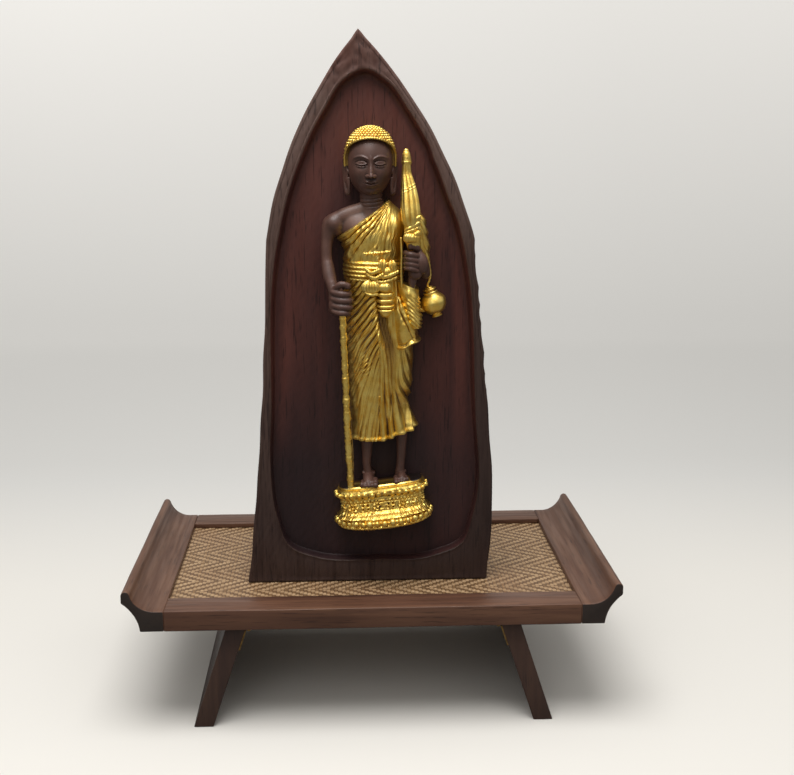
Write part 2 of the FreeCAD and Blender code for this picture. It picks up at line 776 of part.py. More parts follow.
def make_umbrella():
    low = Vec(*canopy_stations[0][:3])
    high = Vec(*canopy_stations[-1][:3])
    axis = (high - low).normalize()
    tie_base = low - axis * tie_profile[-1][1]
    drop = (tie_base.z - handle_low) / axis.z
    handle = Part.makeCylinder(handle_radius, drop, tie_base - axis * drop, axis)
    return {"umbrella_canopy": limb(canopy_stations), "umbrella_handle": handle,
            "umbrella_tie": turned(tie_profile, tie_base, axis),
            "umbrella_finial": turned(finial_profile, high, axis)}


def make_pot():
    """Round water pot with a ringed neck, a low foot and a short spout, leaning in the relief."""
    tilt = math.radians(pot_lean)
    axis = Vec(-math.sin(tilt), 0, math.cos(tilt))
    side = Vec(-math.cos(tilt), 0, -math.sin(tilt))
    foot = turned(pot_foot_profile, pot_middle, axis * -1)
    body = Part.makeSphere(pot_radius, pot_middle).fuse(foot)
    return {"water_pot": body, "pot_neck": turned(pot_neck_profile, pot_middle, axis),
            "pot_spout": turned(pot_spout_profile, pot_middle, side)}


def build_figure():
    parts = make_pedestal()
    parts.update(make_body())
    parts.update(make_head())
    parts.update(make_umbrella())
    parts.update(make_pot())
    parts["lower_robe"] = make_lower_robe()
    parts["waist_sash"] = make_belt()
    parts["sash_knot"] = limb(knot_stations)
    parts["sash_tail"] = limb(tail_stations)
    parts["robe_end_upper"] = relief(robe_end_stations)
    parts["robe_end_lower"] = relief(robe_tip_stations)
    parts["sleeve_drape"] = relief(drape_stations)
    parts["arm_right"] = limb(arm_stations)
    parts["hand_right"] = limb(hand_right_stations)
    parts["hand_left"] = limb(hand_left_stations)
    parts["staff"] = limb(staff_stations)
    parts["pot_strap"] = limb(strap_stations)
    for side in ("right", "left"):
        parts["foot_" + side] = make_foot(side)
        parts["shin_" + side] = limb(shin_stations[side])
    return parts


# what is carved out of each piece by the pieces that lie in front of it or pass through it
CARVING = {
    "chest": ["head", "arm_right", "upper_robe"],
    "hair_cap": ["head"],
    "upper_robe": ["sash_knot", "sleeve_drape", "umbrella_canopy", "umbrella_tie", "hand_left"],
    "lower_robe": ["sash_tail", "robe_end_upper", "robe_end_lower", "hand_right", "staff",
                   "hand_left"],
    "waist_sash": ["sash_knot", "sash_tail", "hand_left", "umbrella_handle", "hand_right",
                   "sleeve_drape"],
    "sash_knot": ["sash_tail"],
    "robe_end_upper": ["sash_tail", "hand_left", "umbrella_handle", "water_pot", "pot_spout",
                       "waist_sash"],
    "sleeve_drape": ["umbrella_canopy", "umbrella_tie", "umbrella_handle", "hand_left",
                     "robe_end_upper", "pot_strap"],
    "arm_right": ["hand_right"],
    "hand_right": ["staff"],
    "hand_left": ["umbrella_handle", "umbrella_tie", "pot_strap"],
    "foot_right": ["shin_right", "pedestal_deck"],
    "foot_left": ["shin_left", "pedestal_deck"],
    "shin_right": ["lower_robe", "pedestal_deck"],
    "shin_left": ["lower_robe", "pedestal_deck"],
    "staff": ["pedestal_deck"],
    "pot_spout": ["water_pot"],
    "pot_neck": ["water_pot"],
    "pot_strap": ["pot_neck"],
    "umbrella_canopy": ["umbrella_tie", "umbrella_finial"],
}


def build_statue():
    """The panel and the figure, in the statue's own frame."""
    pegs = make_pegs()
    rough = build_figure()
    behind = box((-BIG, BIG), (0, BIG), (-BIG, BIG))
    drilled = ("chest", "upper_robe", "lower_robe", "pedestal_waist")
    parts = {}
    for name, shape in rough.items():
        shape = shape.cut(behind)
        others = [rough[other] for other in CARVING.get(name, [])]
        if others:
            shape = shape.cut(others)
        if name in drilled:
            shape = shape.cut(group(pegs))
        parts[name] = one_solid(shape)
    parts["niche_slab"] = make_slab(pegs)
    parts["figure_dowels"] = group(pegs)
    return parts


# ------------------------------------------------------------------ output
def main():
    parts = build_stand()
    for name, shape in build_statue().items():
        shape.translate(Vec(0, niche_floor_y, mat_top))
        parts[name] = shape
    for name, shape in parts.items():
        shape.exportStep("parts/" + name + ".step")
        print(f"{name:22s} solids {len(shape.Solids)}  valid {shape.isValid()}  "
              f"volume {shape.Volume:10.0f}")
    print("pin", round(pin_x, 3), round(pin_z, 3), "nodes", len(parts))


main()
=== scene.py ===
# %% [markdown]
# # A gilded monk in a carved niche, on a folding stand
#
# The real object is three crafts in one: a joiner's stand with scrolled ends and a cane mat, a hewn
# plank with a niche, and a figure carved in relief, lacquered brown and laid with gold leaf. The
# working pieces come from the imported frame. This file gives them the look: own meshes where the
# carving matters, and a finish for every surface.

# %% Load the frame
import math

import bmesh
import bpy
import numpy as np
from mathutils import Matrix, Vector


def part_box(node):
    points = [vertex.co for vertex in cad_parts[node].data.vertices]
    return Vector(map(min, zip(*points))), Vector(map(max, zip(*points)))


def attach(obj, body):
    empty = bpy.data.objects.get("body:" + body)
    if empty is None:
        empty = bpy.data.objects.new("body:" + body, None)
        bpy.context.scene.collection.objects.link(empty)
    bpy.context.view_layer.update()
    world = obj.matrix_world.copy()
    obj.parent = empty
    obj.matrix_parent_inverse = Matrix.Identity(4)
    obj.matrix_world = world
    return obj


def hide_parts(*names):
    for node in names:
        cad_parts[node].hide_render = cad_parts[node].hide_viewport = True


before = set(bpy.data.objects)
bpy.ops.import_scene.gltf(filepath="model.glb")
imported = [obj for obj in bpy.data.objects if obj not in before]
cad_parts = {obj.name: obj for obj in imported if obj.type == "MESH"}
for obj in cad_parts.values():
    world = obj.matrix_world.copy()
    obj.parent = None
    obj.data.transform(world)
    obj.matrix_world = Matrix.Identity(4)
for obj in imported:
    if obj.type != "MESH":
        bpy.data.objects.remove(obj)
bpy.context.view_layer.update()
scene = bpy.context.scene
MM = 0.001

# %% [markdown]
# ## Camera
#
# The camera stands a metre in front of the stand and looks down by twelve degrees. Its lens is given
# through the focal length in picture widths, so the framing doesn't depend on the sensor.

# %% Set the camera
PICTURE_WIDTH = 794
FOCAL_PIXELS = 1220
SENSOR = 36.0

camera_data = bpy.data.cameras.new("camera")
camera_data.sensor_fit = "HORIZONTAL"
camera_data.sensor_width = SENSOR
camera_data.lens = FOCAL_PIXELS / PICTURE_WIDTH * SENSOR
camera = bpy.data.objects.new("camera", camera_data)
camera.location = (-0.0253, -1.0363, 0.4772)
camera.rotation_euler = (math.radians(78.0), 0, math.radians(-2.72))
scene.collection.objects.link(camera)
scene.camera = camera
print("lens", round(camera_data.lens, 2), "mm")

# %% [markdown]
# ## Writing shaders as sums
#
# A finish is easier to read as arithmetic than as a list of links. `Flow` wraps one socket, and its
# operators add the Math node that does the sum. `Finish` is one material: `node` adds any other node,
# and `shader` sets what is the same all over on the shader's own sockets.

# %% A socket that does sums
class Flow:
    """One output of a finish's nodes."""

    def __init__(self, finish, socket):
        self.finish = finish
        self.socket = socket

    def sum(self, operation, *values):
        return self.finish.node("ShaderNodeMath", {"operation": operation}, dict(enumerate(values)))

    def __add__(self, other):
        return self.sum("ADD", self, other)

    def __radd__(self, other):
        return self.sum("ADD", other, self)

    def __sub__(self, other):
        return self.sum("SUBTRACT", self, other)

    def __rsub__(self, other):
        return self.sum("SUBTRACT", other, self)

    def __mul__(self, other):
        return self.sum("MULTIPLY", self, other)

    def __rmul__(self, other):
        return self.sum("MULTIPLY", other, self)

    def __truediv__(self, other):
        return self.sum("DIVIDE", self, other)

    def __rtruediv__(self, other):
        return self.sum("DIVIDE", other, self)

    def __mod__(self, other):
        return self.sum("FLOORED_MODULO", self, other)

    def __gt__(self, other):
        return self.sum("GREATER_THAN", self, other)

    def __lt__(self, other):
        return self.sum("LESS_THAN", self, other)

    def __abs__(self):
        return self.sum("ABSOLUTE", self)

    def floor(self):
        return self.sum("FLOOR", self)

    def clamp(self):
        return self.finish.node("ShaderNodeClamp", {}, {0: self})


def tone(red, green, blue):
    """A linear colour from the 0 to 255 values that a screen shows."""
    channels = []
    for value in (red, green, blue):
        share = value / 255
        channels.append(share / 12.92 if share <= 0.04045 else ((share + 0.055) / 1.055) ** 2.4)
    return (*channels, 1.0)


print("mid grey", round(tone(128, 128, 128)[0], 3))

# %% One finish
class Finish:
    """A material on Object coordinates, in metres."""

    def __init__(self, name):
        self.material = bpy.data.materials.new(name)
        self.material.use_nodes = True
        self.tree = self.material.node_tree
        self.tree.nodes.clear()
        self.out = self.tree.nodes.new("ShaderNodeOutputMaterial")
        self.place = self.node("ShaderNodeTexCoord", {}, {}, "Object")

    def node(self, kind, settings, inputs, output=0):
        """Any node: its settings first, then values or links for its sockets."""
        new = self.tree.nodes.new(kind)
        for key, value in settings.items():
            if key == "stops":
                self.set_stops(new.color_ramp, value)
            else:
                setattr(new, key, value)
        for key, value in inputs.items():
            if isinstance(value, Flow):
                self.tree.links.new(value.socket, new.inputs[key])
            else:
                new.inputs[key].default_value = value
        return Flow(self, new.outputs[output])

    @staticmethod
    def set_stops(ramp, stops):
        while len(ramp.elements) < len(stops):
            ramp.elements.new(0.5)
        for element, (place, colour) in zip(ramp.elements, stops):
            element.position = place
            element.color = colour

    def axis(self, name):
        return self.node("ShaderNodeSeparateXYZ", {}, {0: self.place}, "XYZ".index(name))

    def noise(self, scale, stretch=(1, 1, 1), detail=3.0, distortion=0.0):
        """Noise of about scale bumps to a metre, drawn out where stretch is small."""
        spread = self.node("ShaderNodeMapping", {}, {"Vector": self.place, "Scale": stretch})
        return self.node("ShaderNodeTexNoise", {}, {"Vector": spread, "Scale": scale, "Detail": detail,
                                                    "Distortion": distortion})

    def attribute(self, name):
        return self.node("ShaderNodeAttribute", {"attribute_name": name}, {}, "Fac")

    def step(self, value, low, high, to_low=0.0, to_high=1.0):
        """value taken from the range low to high over to another range, and held at its ends."""
        return self.node("ShaderNodeMapRange", {"clamp": True},
                         {0: value, 1: low, 2: high, 3: to_low, 4: to_high})

    def mix(self, share, first, second):
        """One colour into another."""
        return self.node("ShaderNodeMix", {"data_type": "RGBA"}, {0: share, 6: first, 7: second}, 2)

    def bump(self, height, distance, strength):
        sockets = {"Height": height, "Distance": distance, "Strength": strength}
        return self.node("ShaderNodeBump", {}, sockets)

    def shader(self, **sockets):
        """The closing shader; an underscore stands for a space in a socket's name."""
        inputs = {key.replace("_", " "): value for key, value in sockets.items()}
        made = self.node("ShaderNodeBsdfPrincipled", {}, inputs)
        self.tree.links.new(made.socket, self.out.inputs["Surface"])
        return self.material


print("finishes can be written")

# %% [markdown]
# ## Wood finishes
#
# Wood is long fibres, so all its marks are noise that is drawn out along one axis. Three scales make
# it read as wood: broad colour from the growth rings, dark pores, and a fine bump that breaks up the
# varnish. The stand's boards run three ways, so the finish takes the axis as a value.

# %% Varnished wood of the stand
ALONG = {"X": (0.05, 1, 1), "Y": (1, 0.05, 1), "Z": (1, 1, 0.05)}


def varnished_wood(name, grain, end_at=None, painted_shade=0.0):
    """Brown satin varnish; end_at is the Y beyond which the board shows its end grain, and painted_shade
    darkens the whole board as painted shade.
    """
    wood = Finish(name)
    rings = wood.noise(42, ALONG[grain], detail=4, distortion=1.2)
    streaks = wood.noise(260, ALONG[grain], detail=3)
    cloud = wood.noise(7, detail=2)
    pores = wood.noise(900, ALONG[grain], detail=2)
    body = wood.node("ShaderNodeValToRGB", {"stops": [
        (0.30, tone(60, 38, 28)), (0.46, tone(90, 60, 44)), (0.58, tone(106, 74, 55)),
        (0.72, tone(76, 50, 37))]}, {0: rings})
    body = wood.mix(wood.step(streaks, 0.42, 0.62, 0, 0.38), body, tone(58, 33, 26))
    body = wood.mix(wood.step(cloud, 0.4, 0.66, 0, 0.35), body, tone(120, 84, 66))
    body = wood.mix(wood.step(pores, 0.60, 0.68, 0, 0.5), body, tone(38, 22, 18))
    if end_at is not None:
        end = abs(wood.axis("Y")) > end_at
        body = wood.mix(end * 0.92, body, tone(40, 35, 32))
    # painted shade: a darker copy of the varnish, for the legs in the shade of the tray
    body = wood.mix(painted_shade, body, tone(40, 34, 34))
    shine = wood.step(streaks, 0.35, 0.65, 0.36, 0.52)
    relief = wood.bump(pores * 0.5 + streaks, 0.00018, 0.5)
    return wood.shader(Base_Color=body, Roughness=shine, Normal=relief, Specular_IOR_Level=0.35)


end_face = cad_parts["end_left"].dimensions.y / 2 - 0.0004
wood_x = varnished_wood("varnished_wood_rails", "X")
wood_y = varnished_wood("varnished_wood_ends", "Y", end_face)
# the legs get painted shade
wood_z = varnished_wood("varnished_wood_legs", "Z", painted_shade=0.6)
print("three varnished woods, end grain past", round(end_face, 4))

# %% Oiled wood of the panel
def oiled_wood():
    """Dark hewn hardwood, grey brown on the rim and red brown in the niche, with painted light high up and
    at the niche's sides, and painted shade: near black low down and behind the figure, on the rim's lower
    right and in the hollows.
    """
    wood = Finish("oiled_panel_wood")
    grain = (1, 1, 0.06)
    rings = wood.noise(24, grain, detail=3, distortion=0.8)
    streaks = wood.noise(170, grain, detail=3)
    pores = wood.noise(700, grain, detail=2)
    cloud = wood.noise(9, (1, 1, 0.45), detail=2)
    height = wood.axis("Z")
    aside = abs(wood.axis("X") - 0.004)
    red = wood.node("ShaderNodeValToRGB", {"stops": [
        (0.30, tone(54, 31, 29)), (0.46, tone(76, 42, 37)), (0.58, tone(90, 49, 42)),
        (0.72, tone(65, 36, 33))]}, {0: rings})
    # dark is the painted shade of the niche floor: near black behind the figure and low down
    dark = wood.mix(wood.step(rings, 0.35, 0.65), tone(38, 24, 26), tone(50, 31, 31))
    # painted light: the floor is red where it is lit, away from the figure and high up, with random clouds
    painted_light = wood.step(aside, 0.022, 0.060) * wood.step(height, 0.20, 0.30)
    painted_light = (painted_light + wood.step(height, 0.40, 0.48) * 0.8 + wood.step(cloud, 0.45, 0.7) * 0.5).clamp()
    floor = wood.mix(painted_light, dark, red)
    # painted light: the niche floor lighter still high up
    floor = wood.mix(wood.step(height, 0.36, 0.50, 0, 0.55), floor, tone(112, 68, 60))
    rim = wood.node("ShaderNodeValToRGB", {"stops": [
        (0.32, tone(62, 46, 40)), (0.5, tone(88, 68, 60)), (0.68, tone(70, 50, 43))]}, {0: streaks})
    # painted sheen: the rim lighter and greyer high up; the next line paints shade on it low down
    rim = wood.mix(wood.step(height, 0.34, 0.48, 0, 0.6), rim, tone(116, 92, 84))
    rim = wood.mix(wood.step(height, 0.30, 0.16, 0, 0.62), rim, tone(40, 26, 24))
    # painted shade on the lower right of the rim
    right = wood.step(wood.axis("X"), 0.0, 0.09) * wood.step(height, 0.44, 0.32)
    rim = wood.mix(right * 0.5, rim, tone(38, 26, 23))
    peak = wood.step(height, 0.50, 0.53) * wood.step(cloud, 0.35, 0.6)
    rim = wood.mix(peak * 0.8, rim, tone(92, 54, 44))
    body = wood.mix(wood.attribute("niche"), rim, floor)
    body = wood.mix(wood.step(pores, 0.60, 0.68, 0, 0.55), body, tone(24, 14, 14))
    # painted shade in the panel's hollows: along the niche's lip and wall and in the gouges
    body = wood.mix(wood.attribute("hollow") * 0.35, body, tone(26, 15, 15))
    shine = wood.step(streaks, 0.35, 0.65, 0.40, 0.58)
    relief = wood.bump(pores * 0.4 + streaks, 0.0003, 0.45)
    return wood.shader(Base_Color=body, Roughness=shine, Normal=relief, Specular_IOR_Level=0.3)


panel_wood = oiled_wood()
print("panel finish has", len(panel_wood.node_tree.nodes), "nodes")

# %% Plain wood of the hidden board and the dowels
def plain_wood(name, light, dark, grain):
    wood = Finish(name)
    rings = wood.noise(60, ALONG[grain], detail=4, distortion=0.6)
    pores = wood.noise(800, ALONG[grain], detail=2)
    body = wood.mix(wood.step(rings, 0.35, 0.65), light, dark)
    body = wood.mix(wood.step(pores, 0.58, 0.70, 0, 0.4), body, dark)
    relief = wood.bump(pores, 0.0002, 0.4)
    return wood.shader(Base_Color=body, Roughness=wood.step(rings, 0.3, 0.7, 0.6, 0.75), Normal=relief)


board_wood = plain_wood("bare_board", tone(176, 142, 104), tone(138, 104, 72), "X")
peg_wood = plain_wood("peg_wood", tone(196, 164, 124), tone(160, 124, 86), "Y")
print("plain woods made")

# %% [markdown]
# ## Gold leaf, lacquer and metal
#
# Leaf is real metal a few atoms thick, pressed over every cut of the knife. It stays bright on the
# crests. In the hollows it breaks and the brown ground shows, and the hollows also get painted shade.
# So each gilded mesh carries a number at every point, `hollow`, that says how deep in a groove it lies, and
# the finish reads that.

# %% Gold leaf
def gold_leaf():
    gold = Finish("gold_leaf")
    hollow = gold.attribute("hollow")
    speckle = gold.noise(900, detail=3)
    patch = gold.noise(160, detail=3)
    leaf = gold.mix(gold.step(patch, 0.35, 0.65), tone(238, 196, 90), tone(248, 218, 120))
    # worn leaf and painted shade: random specks and the hollows turn brown
    wear_and_shade = (hollow * 0.9 + gold.step(speckle, 0.56, 0.74) * 0.3).clamp()
    body = gold.mix(wear_and_shade, leaf, tone(152, 106, 38))
    # painted shade: the deepest hollows darker still
    body = gold.mix(gold.step(hollow, 0.66, 1.0), body, tone(74, 46, 22))
    # painted shade: near black where a piece's own darkening passes 1, on the deck's top
    body = gold.mix(gold.step(hollow, 1.05, 1.3), body, tone(30, 20, 17))
    shine = gold.step(speckle, 0.3, 0.7, 0.28, 0.46)
    metal = 1.0 - gold.step(hollow, 0.45, 1.0, 0, 0.75)
    creases = gold.bump(speckle + patch * 0.8, 0.00035, 0.5)
    return gold.shader(Base_Color=body, Roughness=shine, Metallic=metal, Normal=creases, Coat_Weight=0.35,
                       Coat_Roughness=0.25)


leaf_gold = gold_leaf()

# %% Brown lacquer of the skin
def brown_lacquer():
    skin = Finish("brown_lacquer")
    hollow = skin.attribute("hollow")
    cloud = skin.noise(90, detail=3)
    grit = skin.noise(1400, detail=2)
    body = skin.mix(skin.step(cloud, 0.35, 0.65), tone(76, 51, 42), tone(94, 64, 54))
    # painted highlight: a lighter patch on the chest where the light falls from above
    chest = skin.step(abs(skin.axis("X") + 0.012), 0.014, 0.004)
    chest = chest * skin.step(abs(skin.axis("Z") - 0.409), 0.014, 0.004)
    body = skin.mix(chest * 0.45, body, tone(146, 112, 96))
    # painted shade: the skin's creases and hollows darkened to near black
    body = skin.mix(hollow * 0.85, body, tone(26, 16, 15))
    shine = skin.step(cloud, 0.3, 0.7, 0.38, 0.5)
    relief = skin.bump(grit + cloud, 0.00012, 0.4)
    return skin.shader(Base_Color=body, Roughness=shine, Normal=relief)


lacquer = brown_lacquer()

# %% Hinge brass and screw steel
def brushed_metal(name, light, dark, roughness):
    metal = Finish(name)
    lines = metal.noise(2600, (1, 0.08, 1), detail=2)
    stain = metal.noise(220, detail=3)
    body = metal.mix(metal.step(stain, 0.42, 0.7), light, dark)
    shine = metal.step(lines, 0.3, 0.7, roughness, roughness + 0.16)
    relief = metal.bump(lines, 0.00005, 0.4)
    return metal.shader(Base_Color=body, Roughness=shine, Metallic=1.0, Normal=relief)


brass = brushed_metal("hinge_brass", tone(150, 120, 72), tone(92, 70, 40), 0.4)
steel = brushed_metal("screw_steel", tone(150, 148, 142), tone(96, 93, 88), 0.38)
print("leaf, lacquer, brass and steel made")

# %% [markdown]
# ## Modelling helpers
#
# Almost every carved piece here is one grid, bent on to a formula: round for a limb, half round for a
# relief. The grid comes from `bmesh.ops.create_grid`, whose corners are read as two shares from 0 to
# 1, and numpy moves all of them at once. Seams and poles are welded afterwards, and what is still
# open gets a face, so each piece is closed.

# %% A grid on a formula
WELD = 1e-3         # points this near each other become one


def newest(made, key="geom"):
    """The points among what an operator made."""
    return [item for item in made[key] if isinstance(item, bmesh.types.BMVert)]


def closed(skin):
    """Fills what is open and turns the faces outwards."""
    rims = [edge for edge in skin.edges if edge.is_boundary]
    if rims:
        bmesh.ops.holes_fill(skin, edges=rims, sides=0)
    bmesh.ops.recalc_face_normals(skin, faces=skin.faces)
    return skin


def surface(columns, rows, place):
    """A closed skin, in millimetres: place turns the shares u and v into x, y and z."""
    skin = bmesh.new()
    grid = bmesh.ops.create_grid(skin, x_segments=columns, y_segments=rows, size=1.0)["verts"]
    shares = np.array([vert.co[:2] for vert in grid]) / 2 + 0.5
    places = np.stack(np.broadcast_arrays(*place(shares[:, 0], shares[:, 1])), axis=1)
    for vert, spot in zip(grid, places):
        vert.co = spot
    bmesh.ops.remove_doubles(skin, verts=skin.verts, dist=WELD)
    return closed(skin)


def flow(knots, values, at):
    """A smooth curve through values at knots."""
    knots = np.asarray(knots, float)
    values = np.asarray(values, float)
    slopes = np.gradient(values, knots)
    span = np.clip(np.searchsorted(knots, at) - 1, 0, len(knots) - 2)
    width = knots[span + 1] - knots[span]
    share = np.clip((at - knots[span]) / width, 0, 1)
    ease = share * share * (3 - 2 * share)
    swing = share * (1 - share) * width
    return (values[span] * (1 - ease) + values[span + 1] * ease
            + swing * (slopes[span] * (1 - share) - slopes[span + 1] * share))


WAVES = 7           # sines that cross each other in an irregular field
WAVE_HEIGHT = 3.2   # about how high their sum reaches


def wander(across, along, size, seed):
    """A smooth irregular field of about -1 to 1, its bumps about size apart."""
    dice = np.random.default_rng(seed)
    field = 0
    for _ in range(WAVES):
        turn, shift = dice.uniform(0, 2 * math.pi, 2)
        pitch = 2 * math.pi / (size * dice.uniform(0.8, 2.2))
        field = field + np.sin((across * math.cos(turn) + along * math.sin(turn)) * pitch + shift)
    return field / WAVE_HEIGHT


def pleats(phase, sharpness=2.0):
    """Rounded crests and narrow valleys, from 0 to 1, one for each whole number of phase."""
    return 1 - np.abs(2 * (phase % 1.0) - 1) ** sharpness


def hump(value, middle, reach):
    """A soft bump of height 1 at middle that has faded at about twice reach."""
    return np.exp(-((value - middle) / reach) ** 2)


def fade(value, low, high):
    """0 below low, 1 above high, and smooth between."""
    share = np.clip((value - low) / (high - low), 0, 1)
    return share * share * (3 - 2 * share)


print("pleat crest", pleats(np.array([0.0, 0.25, 0.5])))

# %% Limbs and balls
CAP_SHARE = 0.08    # share of a limb's rows in each rounded end
NUDGE = 0.02        # step along the stations that gives a limb's direction


def limb(stations, columns=32, rows=60, swell=None, steady=(1, 0, 0)):
    """A round limb through (x, y, level, radius), with rounded ends; swell adds to its radius."""
    knots = np.arange(len(stations))
    table = np.array(stations, float)

    def place(u, v):
        low = np.clip(1 - v / CAP_SHARE, 0, 1) * math.pi / 2
        high = np.clip(1 - (1 - v) / CAP_SHARE, 0, 1) * math.pi / 2
        along = np.clip((v - CAP_SHARE) / (1 - 2 * CAP_SHARE), 0, 1) * knots[-1]
        centre = np.stack([flow(knots, table[:, i], along) for i in range(3)], axis=1)
        ahead = np.stack([flow(knots, table[:, i], np.clip(along + NUDGE, 0, knots[-1]))
                          - flow(knots, table[:, i], np.clip(along - NUDGE, 0, knots[-1]))
                          for i in range(3)], axis=1)
        ahead /= np.linalg.norm(ahead, axis=1, keepdims=True)
        side = np.array(steady) - ahead * (ahead @ np.array(steady))[:, None]
        side /= np.linalg.norm(side, axis=1, keepdims=True)
        front = np.cross(ahead, side)
        turn = u * 2 * math.pi
        radius = flow(knots, table[:, 3], along)
        ring = radius * np.cos(low) * np.cos(high)
        if swell is not None:
            ring = ring + swell(u, along / knots[-1], centre) * np.cos(low) * np.cos(high)
        spot = centre + ahead * (radius * (np.sin(high) - np.sin(low)))[:, None]
        spot = spot + (side * np.cos(turn)[:, None] + front * np.sin(turn)[:, None]) * ring[:, None]
        return spot.T

    return surface(columns, rows, place)


def ball(centre, radii, columns=24, rows=16, swell=None, lean=0):
    """An egg round centre, leaned by some degrees about Y.

    swell is a share to add to its radius, from the angle and the height."""
    def place(u, v):
        around = u * 2 * math.pi
        height = (v - 0.5) * math.pi
        size = 1.0 if swell is None else 1.0 + swell(around, np.sin(height)) * np.cos(height) ** 0.5
        return (radii[0] * np.cos(around) * np.cos(height) * size,
                radii[1] * np.sin(around) * np.cos(height) * size,
                radii[2] * np.sin(height) * size)

    egg = surface(columns, rows, place)
    spin = Matrix.Translation(centre) @ Matrix.Rotation(math.radians(lean), 4, "Y")
    bmesh.ops.transform(egg, matrix=spin, verts=egg.verts)
    return egg


def joined(pieces):
    """Several meshes as one."""
    whole = bmesh.new()
    for piece in pieces:
        mesh = bpy.data.meshes.new("scrap")
        piece.to_mesh(mesh)
        piece.free()
        whole.from_mesh(mesh)
        bpy.data.meshes.remove(mesh)
    return whole


print("a limb has", len(limb([(0, 0, 0, 1), (0, 0, 5, 1)]).verts), "points")

# %% Reliefs
FULLNESS = 0.82
ROOT = 0.9      # how far a carved form reaches into the niche floor


def relief(stations, columns, rows, folds=None, top=None, bottom=None, fullness=FULLNESS):
    """A form carved on the niche floor, through (level, left, right, proud) from the bottom up.

    folds gives the height of the carving at (x, level, share across); top and bottom may give a
    sloping edge as a level for each x; fullness below 1 squares the section."""
    table = np.array(stations, float)
    levels = table[:, 0]

    def outline(u, level):
        left, right, proud = (flow(levels, table[:, i], level) for i in (1, 2, 3))
        turn = (1 - u) * math.pi
        across = np.sign(np.cos(turn)) * np.abs(np.cos(turn)) ** fullness
        out = np.clip(np.sin(turn), 0, 1) ** fullness
        return (left + right) / 2, (right - left) / 2, proud, across, out, turn

    def edge(u, curve, level):
        """Where the line across at u meets a sloping edge."""
        level = np.full_like(u, level)
        if curve is None:
            return level
        for _ in range(12):
            middle, half, _, across, _, _ = outline(u, level)
            level = np.clip(curve(middle + half * across), levels[0] - 6, levels[-1] + 6)
        return level

    def place(u, v):
        share = np.clip((v * rows - 1) / (rows - 2), 0, 1)
        low = edge(u, bottom, levels[0])
        high = edge(u, top, levels[-1])
        level = low + (high - low) * share
        middle, half, proud, across, out, turn = outline(u, level)
        x = middle + half * across
        lift = folds(x, level, u) * np.clip(out * 3, 0, 1) if folds is not None else 0 * x
        tilt = np.hypot(np.cos(turn) / half, np.sin(turn) / proud)
        x = x + lift * np.cos(turn) / half / tilt
        y = -proud * out - lift * np.sin(turn) / proud / tilt
        on_floor = (v * rows < 0.5) | (v * rows > rows - 0.5) | (u < 1e-6) | (u > 1 - 1e-6)
        return x, np.where(on_floor, ROOT, np.minimum(y, 0.0)), level

    return surface(columns, rows, place)


print("reliefs can be carved")

# %% [markdown]
# Hands, feet and the bare shoulder are soft forms that grow out of each other. They start as limbs
# and balls that overlap. A voxel remesh makes one skin of them, as a carver would cut the fingers
# from one block, and a few passes of smoothing round the joins.

# %% One skin from overlapping forms
def fused(pieces, voxel, passes):
    """One smooth closed skin round overlapping pieces; voxel is its cell in millimetres."""
    whole = joined(pieces)
    mesh = bpy.data.meshes.new("scrap")
    whole.to_mesh(mesh)
    whole.free()
    rough = bpy.data.objects.new("scrap", mesh)
    scene.collection.objects.link(rough)
    remesh = rough.modifiers.new("remesh", "REMESH")
    remesh.mode = "VOXEL"
    remesh.voxel_size = voxel
    bpy.context.view_layer.update()
    skin = bmesh.new()
    skin.from_mesh(rough.evaluated_get(bpy.context.evaluated_depsgraph_get()).to_mesh())
    bpy.data.objects.remove(rough)
    bpy.data.meshes.remove(mesh)
    for _ in range(passes):
        bmesh.ops.smooth_vert(skin, verts=skin.verts, factor=0.5, use_axis_x=True, use_axis_y=True,
                              use_axis_z=True)
    return skin


def cut_at_floor(skin):
    """Nothing of the figure goes behind the niche floor."""
    everything = skin.verts[:] + skin.edges[:] + skin.faces[:]
    bmesh.ops.bisect_plane(skin, geom=everything, plane_co=(0, ROOT, 0), plane_no=(0, 1, 0),
                           clear_outer=True)
    return closed(skin)


print("forms can be fused")

# %% [markdown]
# `hollow` is measured on the finished mesh. Each point is compared with the same point on a copy that
# has been smoothed many times. Where the smooth copy lies outside the real one, the point sits in a
# groove. This is the same on a robe, a pearl rim and a face, so one function does for all.

# %% How deep each point lies
def hollow_of(mesh, passes, depth):
    """For each point, 0 on a crest and 1 at depth or more below the smoothed form."""
    count = len(mesh.vertices)
    places, normals = np.empty(count * 3), np.empty(count * 3)
    mesh.vertices.foreach_get("co", places)
    mesh.vertices.foreach_get("normal", normals)
    places, normals = places.reshape(-1, 3), normals.reshape(-1, 3)
    edges = np.empty(len(mesh.edges) * 2, int)
    mesh.edges.foreach_get("vertices", edges)
    first, second = edges.reshape(-1, 2).T
    links = np.bincount(first, minlength=count) + np.bincount(second, minlength=count)
    smooth = places.copy()
    for _ in range(passes):
        spread = np.empty_like(smooth)
        for i in range(3):
            spread[:, i] = (np.bincount(first, smooth[second, i], count)
                            + np.bincount(second, smooth[first, i], count))
        smooth = spread / np.maximum(links, 1)[:, None]
    below = np.einsum("ij,ij->i", smooth - places, normals)
    return np.clip(below / depth, 0, 1)


def set_numbers(mesh, name, values):
    layer = mesh.attributes.new(name, "FLOAT", "POINT")
    layer.data.foreach_set("value", np.asarray(values, np.float32))


# %% Put a finished piece in the frame
slab_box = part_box("niche_slab")
NICHE_DEPTH = 10.0
STATUE_PLACE = Vector((0, slab_box[0].y / MM + NICHE_DEPTH, slab_box[0].z / MM))
SMOOTH_ANGLE = math.radians(38)


